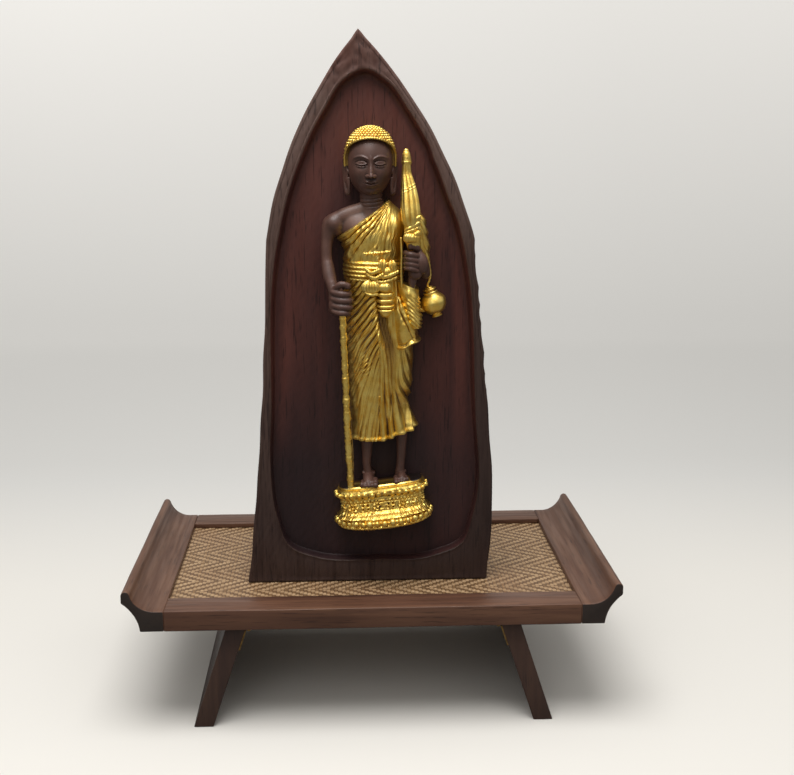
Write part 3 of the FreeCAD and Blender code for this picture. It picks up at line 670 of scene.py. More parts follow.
def finished(name, form, material, body, nodes, hollow, in_niche=True, dark=None):
    """Makes the object in metres, in its place, under its body, and hides the frame's nodes that it stands
    for.

    dark may give places as much darkening as a groove, as painted shade on the deck, the skirt and the
    hair: a share for each x, y and level."""
    wear_and_shade = None
    if dark is not None:
        # painted shade from dark, merged with the groove depths below
        wear_and_shade = dark(*np.array([vert.co for vert in form.verts]).T)
    if in_niche:
        bmesh.ops.translate(form, verts=form.verts, vec=STATUE_PLACE)
    mesh = bpy.data.meshes.new(name)
    form.to_mesh(mesh)
    form.free()
    if hollow is not None:
        depths = hollow_of(mesh, *hollow)
        set_numbers(mesh, "hollow", depths if wear_and_shade is None else np.maximum(depths, wear_and_shade))
    mesh.transform(Matrix.Scale(MM, 4))
    mesh.polygons.foreach_set("use_smooth", [True] * len(mesh.polygons))
    mesh.set_sharp_from_angle(angle=SMOOTH_ANGLE)
    mesh.materials.append(material)
    piece = bpy.data.objects.new(name, mesh)
    scene.collection.objects.link(piece)
    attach(piece, body)
    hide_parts(*nodes)
    low, high = np.array(piece.bound_box).min(0), np.array(piece.bound_box).max(0)
    triangles = sum(len(face.vertices) - 2 for face in mesh.polygons)
    print(f"{name:18s} {triangles:7d} triangles  {np.round(low / MM, 1)} to {np.round(high / MM, 1)}")


def gilded(name, form, nodes, hollow, dark=None):
    finished(name, form, leaf_gold, "statue", nodes, hollow, dark=dark)


def lacquered(name, form, nodes, hollow):
    finished(name, form, lacquer, "statue", nodes, hollow)


print("statue stands at", STATUE_PLACE)

# %% [markdown]
# ## The stand
#
# The end boards are one profile pushed along the stand's depth. Their curves are true arcs, so the
# outline starts as single points that `spin` drags round a centre. Real boards are never quite
# straight after years of handling, so each one is cut across its length and its points wander by a
# tenth or two of a millimetre before the edges are rounded.

# %% Sizes read from the frame
def corners_of(node):
    low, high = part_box(node)
    return low / MM, high / MM


rail_low, rail_high = corners_of("rail_front")
_, stand_high = corners_of("end_right")
mat_low, mat_high = corners_of("woven_mat")
HALF_DEPTH = stand_high.y
HALF_LENGTH = stand_high.x
SEAM = rail_high.x
RAIL_TOP = rail_high.z
RAIL_BOTTOM = rail_low.z
RAIL_WIDTH = rail_high.y - rail_low.y
print("rail", RAIL_WIDTH, "by", RAIL_TOP - RAIL_BOTTOM, "mm, seam at", SEAM)

# %% Boards from an outline
def circle_through(first, middle, last):
    """Centre of the circle through three points of the XZ plane, and the turn from first to last."""
    a, b, c = ((p.x, p.z) for p in (first, middle, last))
    d = 2 * (a[0] * (b[1] - c[1]) + b[0] * (c[1] - a[1]) + c[0] * (a[1] - b[1]))
    squares = [p[0] ** 2 + p[1] ** 2 for p in (a, b, c)]
    x = (squares[0] * (b[1] - c[1]) + squares[1] * (c[1] - a[1]) + squares[2] * (a[1] - b[1])) / d
    z = (squares[0] * (c[0] - b[0]) + squares[1] * (a[0] - c[0]) + squares[2] * (b[0] - a[0])) / d
    centre = Vector((x, first.y, z))
    from_centre, to_last = first - centre, last - centre
    turn = math.atan2(from_centre.z * to_last.x - from_centre.x * to_last.z, from_centre.dot(to_last))
    return centre, turn


def drag_round(outline, start, middle, last, steps):
    """Spins the outline's last point round an arc; returns the new last point."""
    centre, turn = circle_through(start.co, middle, last)
    made = bmesh.ops.spin(outline, geom=[start], cent=centre, axis=(0, 1, 0), angle=turn, steps=steps)
    return newest(made, "geom_last")[0]


def outline_of(points):
    """An outline that joins points in turn and closes."""
    outline = bmesh.new()
    corners = [outline.verts.new(point) for point in points]
    for pair in zip(corners, corners[1:] + corners[:1]):
        outline.edges.new(pair)
    return outline


def pushed(outline, push, cuts):
    """Closes an outline of edges with a face, pushes it into a board and cuts it across."""
    bmesh.ops.contextual_create(outline, geom=outline.edges[:])
    made = bmesh.ops.extrude_face_region(outline, geom=outline.faces[:])
    bmesh.ops.translate(outline, verts=newest(made), vec=push)
    along = Vector(push).normalized()
    long_edges = [edge for edge in outline.edges
                  if abs((edge.verts[1].co - edge.verts[0].co).normalized().dot(along)) > 0.999
                  and edge.calc_length() > Vector(push).length * 0.9]
    bmesh.ops.subdivide_edges(outline, edges=long_edges, cuts=cuts, use_grid_fill=True)
    bmesh.ops.recalc_face_normals(outline, faces=outline.faces)
    return outline


LEAST_TURN = math.radians(28)


def softened(form, width):
    """Rounds the edges that turn by more than the least turn."""
    sharp = [edge for edge in form.edges if edge.calc_face_angle(0) > LEAST_TURN]
    bmesh.ops.bevel(form, geom=sharp, offset=width, offset_type="OFFSET", affect="EDGES", segments=3,
                    profile=0.5, material=-1, clamp_overlap=True)
    return form


def handled(form, amount, seed):
    """Lets the faces wander by amount, as boards that were planed by hand do."""
    places = np.array([vert.co for vert in form.verts])
    x, y, z = places.T
    drift = [wander(x + 3 * z, y - z, 55, seed + i) for i in range(3)]
    for vert, shift in zip(form.verts, amount * np.stack(drift, axis=1)):
        vert.co += Vector(shift)
    return form


def mirrored(form):
    """The left piece, made from the right one."""
    bmesh.ops.scale(form, vec=(-1, 1, 1), verts=form.verts)
    bmesh.ops.recalc_face_normals(form, faces=form.faces)
    return form


print("boards can be pushed")

# %% The scrolled end boards
END_FLAT = 7.3
COVE_RADIUS = 19.6
COVE_TURN = math.radians(75)
TIP_RISE = 16.8
TIP_CROWN_INSET = 3.6
TIP_ROUND_DROP = 3.8
TIP_LOWER_RISE = 7.2
UNDERSIDE_INSET = 14.3
UNDERSIDE_HOLLOW = 3.0
SKIN_ROOM = 0.25


def end_board(side):
    """Level strip, cove, rounded tip and hollow underside; side is -1 on the left."""
    def spot(x, z):
        return Vector((x, -HALF_DEPTH + SKIN_ROOM, z))

    tip = HALF_LENGTH - SKIN_ROOM
    cove_x = SEAM + END_FLAT
    outline = bmesh.new()
    inner_low = outline.verts.new(spot(SEAM, RAIL_BOTTOM))
    inner_high = outline.verts.new(spot(SEAM, RAIL_TOP))
    cove_start = outline.verts.new(spot(cove_x, RAIL_TOP))
    cove = [spot(cove_x + COVE_RADIUS * math.sin(share * COVE_TURN),
                 RAIL_TOP + COVE_RADIUS * (1 - math.cos(share * COVE_TURN))) for share in (0.5, 1.0)]
    crown = spot(tip - TIP_CROWN_INSET, RAIL_TOP + TIP_RISE)
    tip_outer = spot(tip, RAIL_TOP + TIP_RISE - TIP_ROUND_DROP)
    tip_lower = spot(tip, RAIL_TOP + TIP_LOWER_RISE)
    foot = spot(HALF_LENGTH - UNDERSIDE_INSET, RAIL_BOTTOM)
    slope = (foot - tip_lower).normalized()
    hollow = (tip_lower + foot) / 2 + Vector((slope.z, 0, -slope.x)) * UNDERSIDE_HOLLOW
    cove_end = drag_round(outline, cove_start, cove[0], cove[1], 14)
    round_end = drag_round(outline, cove_end, crown, tip_outer, 10)
    lower = outline.verts.new(tip_lower)
    under_end = drag_round(outline, lower, hollow, foot, 8)
    for pair in ((inner_low, inner_high), (inner_high, cove_start), (round_end, lower),
                 (under_end, inner_low)):
        outline.edges.new(pair)
    board = pushed(outline, (0, 2 * (HALF_DEPTH - SKIN_ROOM), 0), 23)
    softened(board, 0.9)
    handled(board, 0.14, 5 + side)
    return mirrored(board) if side < 0 else board


for side, name in ((-1, "end_left"), (1, "end_right")):
    finished("scroll_" + name, end_board(side), wood_y, "stand", [name], None, False)

# %% [markdown]
# The rails are straight bars with a groove on the inner side that takes the mat and its board. The
# legs are leaning planks, bevelled at the top where they bear on the rails. Both take their outline
# from the frame's boxes.

# %% Rails and legs
GROOVE_DEPTH = 6.0
BOARD_BOTTOM = corners_of("backing_panel")[0].z


def rail(front):
    """front is -1 for the front rail and 1 for the back one."""
    outer = front * (HALF_DEPTH - SKIN_ROOM)
    inner = front * (HALF_DEPTH - RAIL_WIDTH)
    deep = inner + front * GROOVE_DEPTH
    section = [(outer, RAIL_BOTTOM), (outer, RAIL_TOP), (inner, RAIL_TOP), (inner, mat_high.z),
               (deep, mat_high.z), (deep, BOARD_BOTTOM), (inner, BOARD_BOTTOM), (inner, RAIL_BOTTOM)]
    outline = outline_of([(-SEAM, y, z) for y, z in section])
    bar = softened(pushed(outline, (2 * SEAM, 0, 0), 31), 0.8)
    return handled(bar, 0.12, 11 + front)


LEG_SPLAY = math.radians(18.3)
LEG_THICKNESS = 15.0


def leg(side):
    low, high = corners_of("leg_right")
    width = LEG_THICKNESS / math.cos(LEG_SPLAY)
    lean = high.z * math.tan(LEG_SPLAY)
    section = [(high.x, 0), (high.x - width, 0), (high.x - width - lean, high.z), (high.x - lean, high.z)]
    outline = outline_of([(x, low.y, z) for x, z in section])
    plank = softened(pushed(outline, (0, high.y - low.y, 0), 21), 0.8)
    return mirrored(plank) if side < 0 else plank


for front, name in ((-1, "rail_front"), (1, "rail_back")):
    finished("planed_" + name, rail(front), wood_x, "stand", [name], None, False)
for side, name in ((-1, "leg_left"), (1, "leg_right")):
    finished("planed_" + name, leg(side), wood_z, name, [name], None, False)

# %% [markdown]
# ## The cane mat
#
# The mat is a twill of flat strips: each strip goes over two and under two, one step further on in
# every row, and the step turns back every ten rows, which makes the herringbone. The mesh holds four
# points for each strip, one of them in the gap beside it. The finish works out the same twill from
# the same sizes, so its colours sit on the right strips.

# %% The weave
STRIP_X, STRIP_Y = 3.2, 2.35
POINTS = 4      # mesh points across each strip
TURN_ROWS = 10
FLOAT = 4
CROWN = 0.6


def twill_step(row):
    """How far the twill has moved on in a row; it runs out and back."""
    return np.abs((row + TURN_ROWS) % (2 * TURN_ROWS) - TURN_ROWS)


def weft_on_top(column, row):
    return (column + twill_step(row)) % FLOAT < FLOAT / 2


def on_top(here, before, share):
    """How far a strip is on top: half way in the gap between two crossings that differ."""
    return np.where(share == 0, (here + before) / 2.0, here * 1.0)


def mat_half(side):
    """Half of the mat, as far as the middle of the stand."""
    half_columns = int(mat_high.x / STRIP_X)
    half_rows = int(mat_high.y / STRIP_Y)
    columns = POINTS * half_columns + 2
    rows = 2 * POINTS * half_rows + 2
    first_column = 0 if side > 0 else -half_columns

    def place(u, v):
        i = np.clip(np.round(u * columns) - 1, 0, columns - 2)
        j = np.clip(np.round(v * rows) - 1, 0, rows - 2)
        column = first_column + np.floor(i / POINTS)
        row = np.floor(j / POINTS) - half_rows
        share_x = (i % POINTS) / POINTS
        share_y = (j % POINTS) / POINTS
        here = weft_on_top(column, row)
        weft = on_top(here, weft_on_top(column - 1, row), share_x)
        warp = 1 - on_top(here, weft_on_top(column, row - 1), share_y)
        weft = (0.1 + 0.9 * weft) * (1 - 0.55 * (2 * np.abs(share_y - 0.5)) ** 2)
        warp = (0.1 + 0.9 * warp) * (1 - 0.55 * (2 * np.abs(share_x - 0.5)) ** 2)
        height = np.maximum(weft, warp)
        skirt = (np.round(u * columns) % columns == 0) | (np.round(v * rows) % rows == 0)
        x = (first_column + i / POINTS) * STRIP_X
        y = (j / POINTS - half_rows) * STRIP_Y
        return x, y, np.where(skirt, mat_low.z, mat_high.z - CROWN * (1 - height))

    return surface(columns, rows, place)


def split_cane():
    """Tan strips one way and browner strips the other, each with its own tone, and painted shade in the
    gaps and where a strip dips under.
    """
    cane = Finish("split_cane")
    across = cane.axis("X") / (STRIP_X * MM)
    along = cane.axis("Y") / (STRIP_Y * MM)
    column, row = across.floor(), along.floor()
    step = abs((row + TURN_ROWS) % (2 * TURN_ROWS) - TURN_ROWS)
    weft = ((column + step) % FLOAT) < FLOAT / 2
    gap_x = abs(across - column - 0.5)
    gap_y = abs(along - row - 0.5)
    weft_shade = cane.node("ShaderNodeTexWhiteNoise", {"noise_dimensions": "1D"}, {"W": row})
    warp_shade = cane.node("ShaderNodeTexWhiteNoise", {"noise_dimensions": "1D"}, {"W": column + 0.37})
    fibres = cane.noise(1500, detail=2)
    stain = cane.noise(16, detail=3)
    light = cane.mix(weft_shade, tone(192, 160, 122), tone(170, 138, 102))
    brown = cane.mix(warp_shade, tone(128, 98, 64), tone(100, 74, 46))
    body = cane.mix(weft, brown, light)
    body = cane.mix(cane.step(fibres, 0.45, 0.7, 0, 0.3), body, tone(110, 76, 48))
    body = cane.mix(cane.step(stain, 0.45, 0.7, 0, 0.35), body, tone(126, 88, 58))
    # painted shade in the gaps between strips and on the lower parts of the weave
    edge = weft * cane.step(gap_y, 0.34, 0.5) + (1.0 - weft) * cane.step(gap_x, 0.34, 0.5)
    body = cane.mix((edge * 0.6 + cane.attribute("hollow") * 0.4).clamp(), body, tone(62, 38, 24))
    relief = cane.bump(fibres, 0.00012, 0.4)
    return cane.shader(Base_Color=body, Roughness=cane.step(fibres, 0.3, 0.7, 0.46, 0.62),
                       Normal=relief)


cane = split_cane()
for side, name in ((-1, "left"), (1, "right")):
    finished("cane_mat_" + name, mat_half(side), cane, "stand", ["woven_mat"], (3, 0.2),
             False)

# %% [markdown]
# ## The niche panel
#
# The panel is hewn from one plank: a pointed outline, and a rounded niche with sloping walls. Its
# mesh is a single skin of rings. They start at the middle of the niche floor, run out to the wall,
# up over the lip, across the rim, round the edge and close at the middle of the back. So the lip
# and the edge stay crisp, because the rings follow them.

# %% Outlines of the panel and its niche
PANEL_COLUMNS = 720
PANEL_GIRTH = 1150  # about how far it is round the panel's edge
CORNER_SHARE = 0.108
SHOULDER_SHARE = 0.338
SHOULDER = 290.0
LANDMARKS = [0, CORNER_SHARE, SHOULDER_SHARE, 0.5, 1 - SHOULDER_SHARE, 1 - CORNER_SHARE, 1]
BASE_LEFT, BASE_RIGHT = -105.0, 98.3
SHOULDER_LEFT, SHOULDER_RIGHT = (-84.3, SHOULDER), (84.9, SHOULDER)
APEX = (-8.9, 453.7)
ARCH_RISE = 12.3
LEFT_HOLLOW = 3.4


def bowed(start, end, bow, share):
    """Points of a shallow arc that stands bow to the right of the way from start to end."""
    start, end = np.array(start), np.array(end)
    way = end - start
    right = np.array((way[1], -way[0])) / np.linalg.norm(way)
    share = share[:, None]
    return start + way * share + right * bow * 4 * share * (1 - share)


def panel_outline(u):
    """Outer edge, from the middle of the foot round to the right."""
    right_levels = (0.0, 45.6, 168.0, SHOULDER)
    right_places = (BASE_RIGHT, 102.3, 96.3, SHOULDER_RIGHT[0])
    middle = ((BASE_LEFT + BASE_RIGHT) / 2, 0.0)
    share = [np.clip((u - low) / (high - low), 0, 1) for low, high in zip(LANDMARKS, LANDMARKS[1:])]
    side = share[1] * SHOULDER
    runs = [
        bowed(middle, (BASE_RIGHT, 0), 0, share[0]),
        np.stack([flow(right_levels, right_places, side), side], axis=1),
        bowed(SHOULDER_RIGHT, APEX, ARCH_RISE, share[2]),
        bowed(APEX, SHOULDER_LEFT, ARCH_RISE, share[3]),
        bowed(SHOULDER_LEFT, (BASE_LEFT, 0), -LEFT_HOLLOW, share[4]),
        bowed((BASE_LEFT, 0), middle, 0, share[5]),
    ]
    which = np.clip(np.searchsorted(LANDMARKS, u, side="right") - 1, 0, 5)
    return np.stack(runs)[which, np.arange(len(u))]


NICHE_RIGHT = [[(3.5, 19), (53, 22), (76.8, 32.7), (86, 58)], [(86.5, 157), (74.8, SHOULDER)],
               [(52.1, 356.1), (31, 392.5), (14.2, 414.7), (-2.8, 423.7)]]
NICHE_LEFT = [[(-21, 415), (-36.5, 392.5), (-55.1, 355.8), (-74.8, SHOULDER)], [(-82.3, 157), (-79, 58)],
              [(-69.8, 32.7), (-46, 22), (3.5, 19)]]


def niche_outline(u):
    """Lip of the niche: one smooth closed curve whose landmarks match the panel's corners."""
    points, knots = [NICHE_RIGHT[0][0]], [0.0]
    for low, high, section in zip(LANDMARKS, LANDMARKS[1:], NICHE_RIGHT + NICHE_LEFT):
        run = [spot for spot in section if spot != points[-1]]
        steps = [math.dist(a, b) for a, b in zip([points[-1]] + run, run)]
        knots += list(low + (high - low) * np.cumsum(steps) / sum(steps))
        points += run
    knots = np.array([knots[-3] - 1, knots[-2] - 1] + knots + [knots[1] + 1, knots[2] + 1])
    points = np.array([points[-3], points[-2]] + points + [points[1], points[2]])
    return np.stack([flow(knots, points[:, i], u) for i in (0, 1)], axis=1)


def drawn_in(outline, reach):
    """A closed outline moved inwards by reach."""
    ahead = np.roll(outline, -1, axis=0) - np.roll(outline, 1, axis=0)
    inwards = np.stack([-ahead[:, 1], ahead[:, 0]], axis=1)
    inwards /= np.linalg.norm(inwards, axis=1, keepdims=True)
    return outline + inwards * np.asarray(reach)[..., None]


shares = np.arange(PANEL_COLUMNS) / PANEL_COLUMNS
print("panel", panel_outline(shares).min(0), panel_outline(shares).max(0), "niche",
      np.round(niche_outline(shares).min(0)), np.round(niche_outline(shares).max(0)))

# %% Rings of the panel
EDGE_ROUND = 1.3
PANEL_THICKNESS = (slab_box[1].y - slab_box[0].y) / MM
BACK = PANEL_THICKNESS - NICHE_DEPTH
CORE = 0.03
SPINE_LOW, SPINE_HIGH = 90.0, 350.0
# from the foot of the niche wall to its lip: how far inside the lip, and height over the floor
WALL = [(5.0, 0.0), (3.9, 0.4), (3.1, 1.5), (2.5, 3.4), (1.9, 5.6), (1.3, 7.6), (0.7, 9.0), (0.0, 9.7),
        (-1.0, 10.0)]
# from the rim round the front edge: how far inside the edge, and depth behind the front
EDGE = [(EDGE_ROUND + 1, 0.0), (1.2, 0.1), (0.6, 0.4), (0.2, 1.0), (0.0, 1.9)]


def panel_rings():
    """Rings of (x, y, z) from the middle of the niche to the middle of the back, and a niche mark."""
    outer = panel_outline(shares)
    lip = niche_outline(shares)
    level = outer[:, 1]
    girth = shares * PANEL_GIRTH
    hewn = 0.5 + 0.5 * wander(girth, 0 * girth, 26, 3)
    chips = fade(level, 150, 190) * fade(level, 292, 276) * (outer[:, 0] > 0)
    hewn = hewn * 0.8 + chips * (0.2 + 0.9 * pleats(girth / 17 + 0.2 * np.sin(girth / 9), 1.6))
    hewn = hewn * fade(level, 2, 14) * fade(level, 452, 446)
    outer = drawn_in(outer, hewn)
    step = 1.8 * fade(lip[:, 1], 300, 330) * fade(lip[:, 1], 366, 352) * (lip[:, 0] > 0)
    lip = drawn_in(lip, 0.25 * wander(girth, 0 * girth, 60, 8) + step)
    spine_share = (lip[:, 1] - lip[:, 1].min()) / (lip[:, 1].max() - lip[:, 1].min())
    spine = np.stack([0 * spine_share + 2, SPINE_LOW + (SPINE_HIGH - SPINE_LOW) * spine_share], axis=1)
    rings = []

    def ring(places, depth, mark):
        rings.append((places[:, 0], 0 * level + depth, places[:, 1], 0 * level + mark))

    steep = 0.35 + 0.65 * fade(lip[:, 1], 60, 300)
    wall_foot = drawn_in(lip, WALL[0][0] * steep)
    for share in np.linspace(CORE, 1, 40)[:-1]:
        ring(spine + (wall_foot - spine) * share, 0.0, 1.0)
    for reach, proud in WALL:
        ring(drawn_in(lip, reach * steep), -proud, 1.0 - fade(proud, 8.5, 9.9))
    rim_start, rim_end = drawn_in(lip, WALL[-1][0] * steep), drawn_in(outer, EDGE[0][0])
    for share in np.linspace(0, 1, 14)[1:-1]:
        swell = 0.5 * math.sin(math.pi * share)
        ring(rim_start + (rim_end - rim_start) * share, -NICHE_DEPTH + 0.5 - swell, 0.0)
    for reach, depth in EDGE:
        ring(drawn_in(outer, reach), -NICHE_DEPTH + depth, 0.0)
    for share in np.linspace(0, 1, 14)[1:-1]:
        ring(outer, -NICHE_DEPTH + EDGE[-1][1] + (PANEL_THICKNESS - 2 * EDGE[-1][1]) * share, 0.0)
    for reach, depth in reversed(EDGE):
        ring(drawn_in(outer, reach), BACK - depth, 0.0)
    back_edge = drawn_in(outer, EDGE[0][0])
    for share in np.linspace(1, CORE, 18)[1:]:
        ring(spine + (back_edge - spine) * share, BACK, 0.0)
    return rings


def gouged(x, y, z, mark):
    """Long shallow flutes on the floor and the rim, and rougher cuts at the tip and on the sides."""
    flutes = 0.30 * wander(x, z * 0.22, 8, 21) + 0.16 * wander(x, z * 0.4, 3.6, 22)
    cuts = 0.34 * wander(x + y, z, 9, 23) + 0.2 * wander(x - y, z, 4.5, 24)
    rough = fade(z, 395, 425) * (1 - mark)
    on_front = (y < 1) & (y > -NICHE_DEPTH - 2)
    sink = np.where(on_front, 0.25 + flutes * 0.6 + rough * cuts, 0.0)
    on_back = y > BACK - 0.5
    return np.where(on_back, -0.4 - 0.5 * np.abs(wander(x * 0.4, z, 22, 25)), sink)


rings = panel_rings()


def panel_place(u, v):
    column = np.round(u * PANEL_COLUMNS).astype(int) % PANEL_COLUMNS
    row = np.round(v * (len(rings) - 1)).astype(int)
    x, y, z, mark = (np.stack([ring[i] for ring in rings])[row, column] for i in range(4))
    return x, np.clip(y + gouged(x, y, z, mark), -NICHE_DEPTH, BACK), np.maximum(z, 0)


def panel_form():
    form = surface(PANEL_COLUMNS, len(rings) - 1, panel_place)
    places = np.array([vert.co for vert in form.verts])
    layer = form.verts.layers.float.new("niche")
    proud = -places[:, 1]
    outer = panel_outline(shares)
    reach = np.interp(places[:, 2], outer[: PANEL_COLUMNS // 2, 1], outer[: PANEL_COLUMNS // 2, 0])
    inside = np.abs(places[:, 0] + 2) < reach - 5
    marks = (1 - fade(proud, 8.2, 9.6)) * inside * (proud > -3)
    for vert, mark in zip(form.verts, marks):
        vert[layer] = mark
    return form


finished("hewn_panel", panel_form(), panel_wood, "statue", ["niche_slab"], (10, 0.4))

# %% [markdown]
# ## The pedestal
#
# The monk stands on a half drum: a deck, a row of pearls, a waist with rosettes, and a second row of
# pearls. Each course is one relief, and its ornament is a height at every point. Ornament must keep
# its size round the curve, so it is laid out by the way along the front, not by the angle. The pearls
# are balls of few faces, because there are dozens.

# %% Ways round the half drum
PEDESTAL_PLACE = Vector((7.5, 0, 89.0))
PEDESTAL_TILT = math.radians(6.2)
FRONT_TURN = np.linspace(0, math.pi, 1200)
DRUM = 0.5      # how full the round of the deck, the upper rim and the waist is


def tilted(form):
    """From the pedestal's own axes to the figure's."""
    turn = Matrix.Translation(PEDESTAL_PLACE) @ Matrix.Rotation(-PEDESTAL_TILT, 4, "Y")
    bmesh.ops.transform(form, matrix=turn, verts=form.verts)
    return form


def drum_front(half, proud, fullness):
    """Points of a course's front from left to right, and the way to each of them."""
    x = -half * np.sign(np.cos(FRONT_TURN)) * np.abs(np.cos(FRONT_TURN)) ** fullness
    y = -proud * np.abs(np.sin(FRONT_TURN)) ** fullness
    way = np.concatenate([[0], np.cumsum(np.hypot(np.diff(x), np.diff(y)))])
    return x, y, way


def way_at(half, proud, fullness, u):
    """The way along the front at a share of the turn."""
    return np.interp(u * math.pi, FRONT_TURN, drum_front(half, proud, fullness)[2])


def pearls(half, proud, fullness, level, radius, spacing, seed):
    """A row of pearls on a course's front, each a little different."""
    x, y, way = drum_front(half, proud, fullness)
    count = int(way[-1] / spacing)
    dice = np.random.default_rng(seed)
    row = []
    for i in range(count):
        at = (i + 0.5 + dice.uniform(-0.14, 0.14)) * way[-1] / count
        size = radius * dice.uniform(0.8, 1.1)
        place = (np.interp(at, way, x), np.interp(at, way, y), level + dice.uniform(-0.35, 0.35))
        row.append(ball(place, (size * dice.uniform(0.9, 1.12), size, size), 14, 9))
    return row


print("the deck's front is", round(drum_front(34.3, 23.0, DRUM)[2][-1], 1), "mm long")

# %% Deck and pearl rims
def deck_carving(x, level, u):
    return 0.35 * hump(level, -1.0, 0.8) - 0.5 * hump(level, -2.6, 0.5) + 0.2 * wander(x, level * 2, 7, 31)


def rim_carving(half, proud, fullness, middle, spacing, pit_level):
    """A soft band with a drilled pit between each two pearls."""
    length = drum_front(half, proud, fullness)[2][-1]
    count = int(length / spacing)

    def carving(x, level, u):
        phase = way_at(half, proud, fullness, u) * count / length
        off = np.abs(phase % 1.0 - 0.5) * spacing
        beside = np.abs((phase + 0.5) % 1.0 - 0.5) * spacing
        pits = 1.5 * np.exp(-(beside / 0.9) ** 2 - ((level - pit_level) / 0.9) ** 2)
        scallop = 0.5 * np.cos(off / spacing * 2 * math.pi) * hump(level, middle, 3)
        return scallop - pits + 0.18 * wander(x, level, 3, 33)

    return carving


deck = relief([(-3.6, -34.8, 34.8, 23.5), (-2.0, -35.1, 35.1, 23.9), (0.0, -34.3, 34.3, 23.0)], 260, 20,
              deck_carving, fullness=DRUM)


def deck_level(x):
    return PEDESTAL_PLACE.z + (x - PEDESTAL_PLACE.x) * math.tan(PEDESTAL_TILT)


def deck_painted_shade(x, y, level):
    """Painted shade: the deck's top between the feet is darkened to near black, and only its edge shows as
    gold.
    """
    return 1.4 * fade(level - deck_level(x), -1.2, -0.4) * fade(y, -22.0, -20.6)


# the deck's top gets painted shade
gilded("deck_plate", tilted(deck), ["pedestal_deck"], (8, 0.3), deck_painted_shade)

upper_rim = relief([(-11.2, -36.0, 36.0, 24.6), (-9.4, -37.2, 37.2, 25.4), (-7.4, -38.2, 38.2, 26.2),
                    (-5.4, -37.2, 37.2, 25.6), (-3.6, -36.2, 36.2, 24.8)], 300, 26,
                   rim_carving(38.0, 26.0, DRUM, -7.4, 5.6, -9.6), fullness=DRUM)
upper_row = pearls(38.0, 26.0, DRUM, -7.0, 2.1, 5.6, 41)
gilded("pearls_under_deck", tilted(joined([upper_rim] + upper_row)), ["pearl_rim_upper"], (8, 0.35))

lower_rim = relief([(-35.3, -39.4, 39.4, 31.8), (-34.2, -40.2, 40.2, 32.8), (-32.6, -39.2, 39.2, 31.8),
                    (-30.6, -39.6, 39.6, 32.2), (-28.4, -38.8, 38.8, 31.4), (-27.0, -39.6, 39.6, 32.2),
                    (-26.0, -38.8, 38.8, 31.5)], 280, 36,
                   rim_carving(39.4, 32.0, FULLNESS, -30.4, 6.2, -32.6))
lower_row = pearls(39.8, 32.9, FULLNESS, -30.3, 2.75, 6.2, 42)
small_row = pearls(39.5, 32.2, FULLNESS, -33.6, 1.4, 3.9, 43)
gilded("pearls_at_foot", tilted(joined([lower_rim] + lower_row + small_row)), ["pearl_rim_lower"],
       (8, 0.35))

# %% The waist with its rosettes
WAIST_HALF, WAIST_PROUD = 34.8, 24.4
ROSETTE_SPACING = 10.6


def waist_carving(x, level, u):
    """Rosettes with drilled eyes between two rows of small dots."""
    way = way_at(WAIST_HALF, WAIST_PROUD, DRUM, u)
    cell = way / ROSETTE_SPACING
    side = (cell % 1.0 - 0.5) * ROSETTE_SPACING
    odd = np.floor(cell) % 2 == 1
    up = level + 18.0
    far = np.hypot(side, up * 1.15)
    round_it = np.arctan2(up, side)
    rosette = 1.5 * np.exp(-(far / 1.2) ** 2) - 0.8 * hump(far, 1.9, 0.5)
    rosette = rosette + 1.2 * hump(far, 3.5, 0.8) * (0.5 + 0.5 * np.cos(7 * round_it))
    corner = np.hypot(np.abs(side) - 1.9, np.abs(up) - 1.5)
    diamond = 0.9 * np.exp(-((np.abs(side) + np.abs(up)) / 3.6) ** 4) - 2.2 * np.exp(-(corner / 0.7) ** 2)
    dots = pleats(way / 3.0, 2) ** 2
    rows = 0.8 * dots * hump(level, -13.0, 0.8) + 0.7 * dots * hump(level, -23.0, 0.8)
    lines = -0.4 * hump(level, -14.4, 0.4) - 0.4 * hump(level, -21.6, 0.4)
    flare = 0.35 * pleats(way / 2.65, 1.6) * fade(level, -23.6, -25.0)
    return np.where(odd, diamond, rosette) + rows + lines + flare + 0.35 * wander(way, level, 2.4, 35)


waist = relief([(-26.0, -38.4, 38.4, 30.8), (-25.0, -37.6, 37.6, 29.4), (-23.4, -36.0, 36.0, 26.6),
                (-18.0, -34.6, 34.6, 24.4), (-12.6, -34.8, 34.8, 24.2), (-11.2, -35.0, 35.0, 24.4)],
               600, 100, waist_carving, fullness=DRUM)
gilded("carved_waist", tilted(waist), ["pedestal_waist"], (8, 0.35),
       lambda x, y, level: 0.42 * fade(level - deck_level(x), -22.6, -24.0))

# %% [markdown]
# ## The robes
#
# Carved drapery is drawn first as lines, then cut as valleys between the lines. The code does the
# same. A phase is a number at each point that is constant along a fold, and `pleats` makes a crest at
# each whole step of it. Folds fan out where the phase is an angle, and they run side by side where it
# is a distance.

# %% The skirt
HEM_PLACES = (-17.0, 1.5, 13.0, 21.1, 32.6, 39.0)
HEM_LEVELS = (126.0, 126.5, 128.1, 131.2, 134.1, 136.0)
SKIRT_MIDDLE = 6.5
skirt_stations = [
    (118.0, -16.6, 40.6, 25.4), (126.0, -16.6, 40.0, 25.2), (136.0, -16.9, 38.8, 24.9),
    (144.0, -17.4, 35.2, 24.6), (157.0, -18.5, 31.0, 24.6), (169.0, -19.8, 33.4, 25.4),
    (186.0, -21.0, 34.5, 25.8), (200.0, -21.5, 35.0, 26.2), (233.0, -21.8, 33.0, 27.0),
    (257.0, -20.8, 27.0, 26.5), (264.0, -20.4, 26.0, 25.5),
]


def hem_level(x):
    return flow(HEM_PLACES, HEM_LEVELS, x)


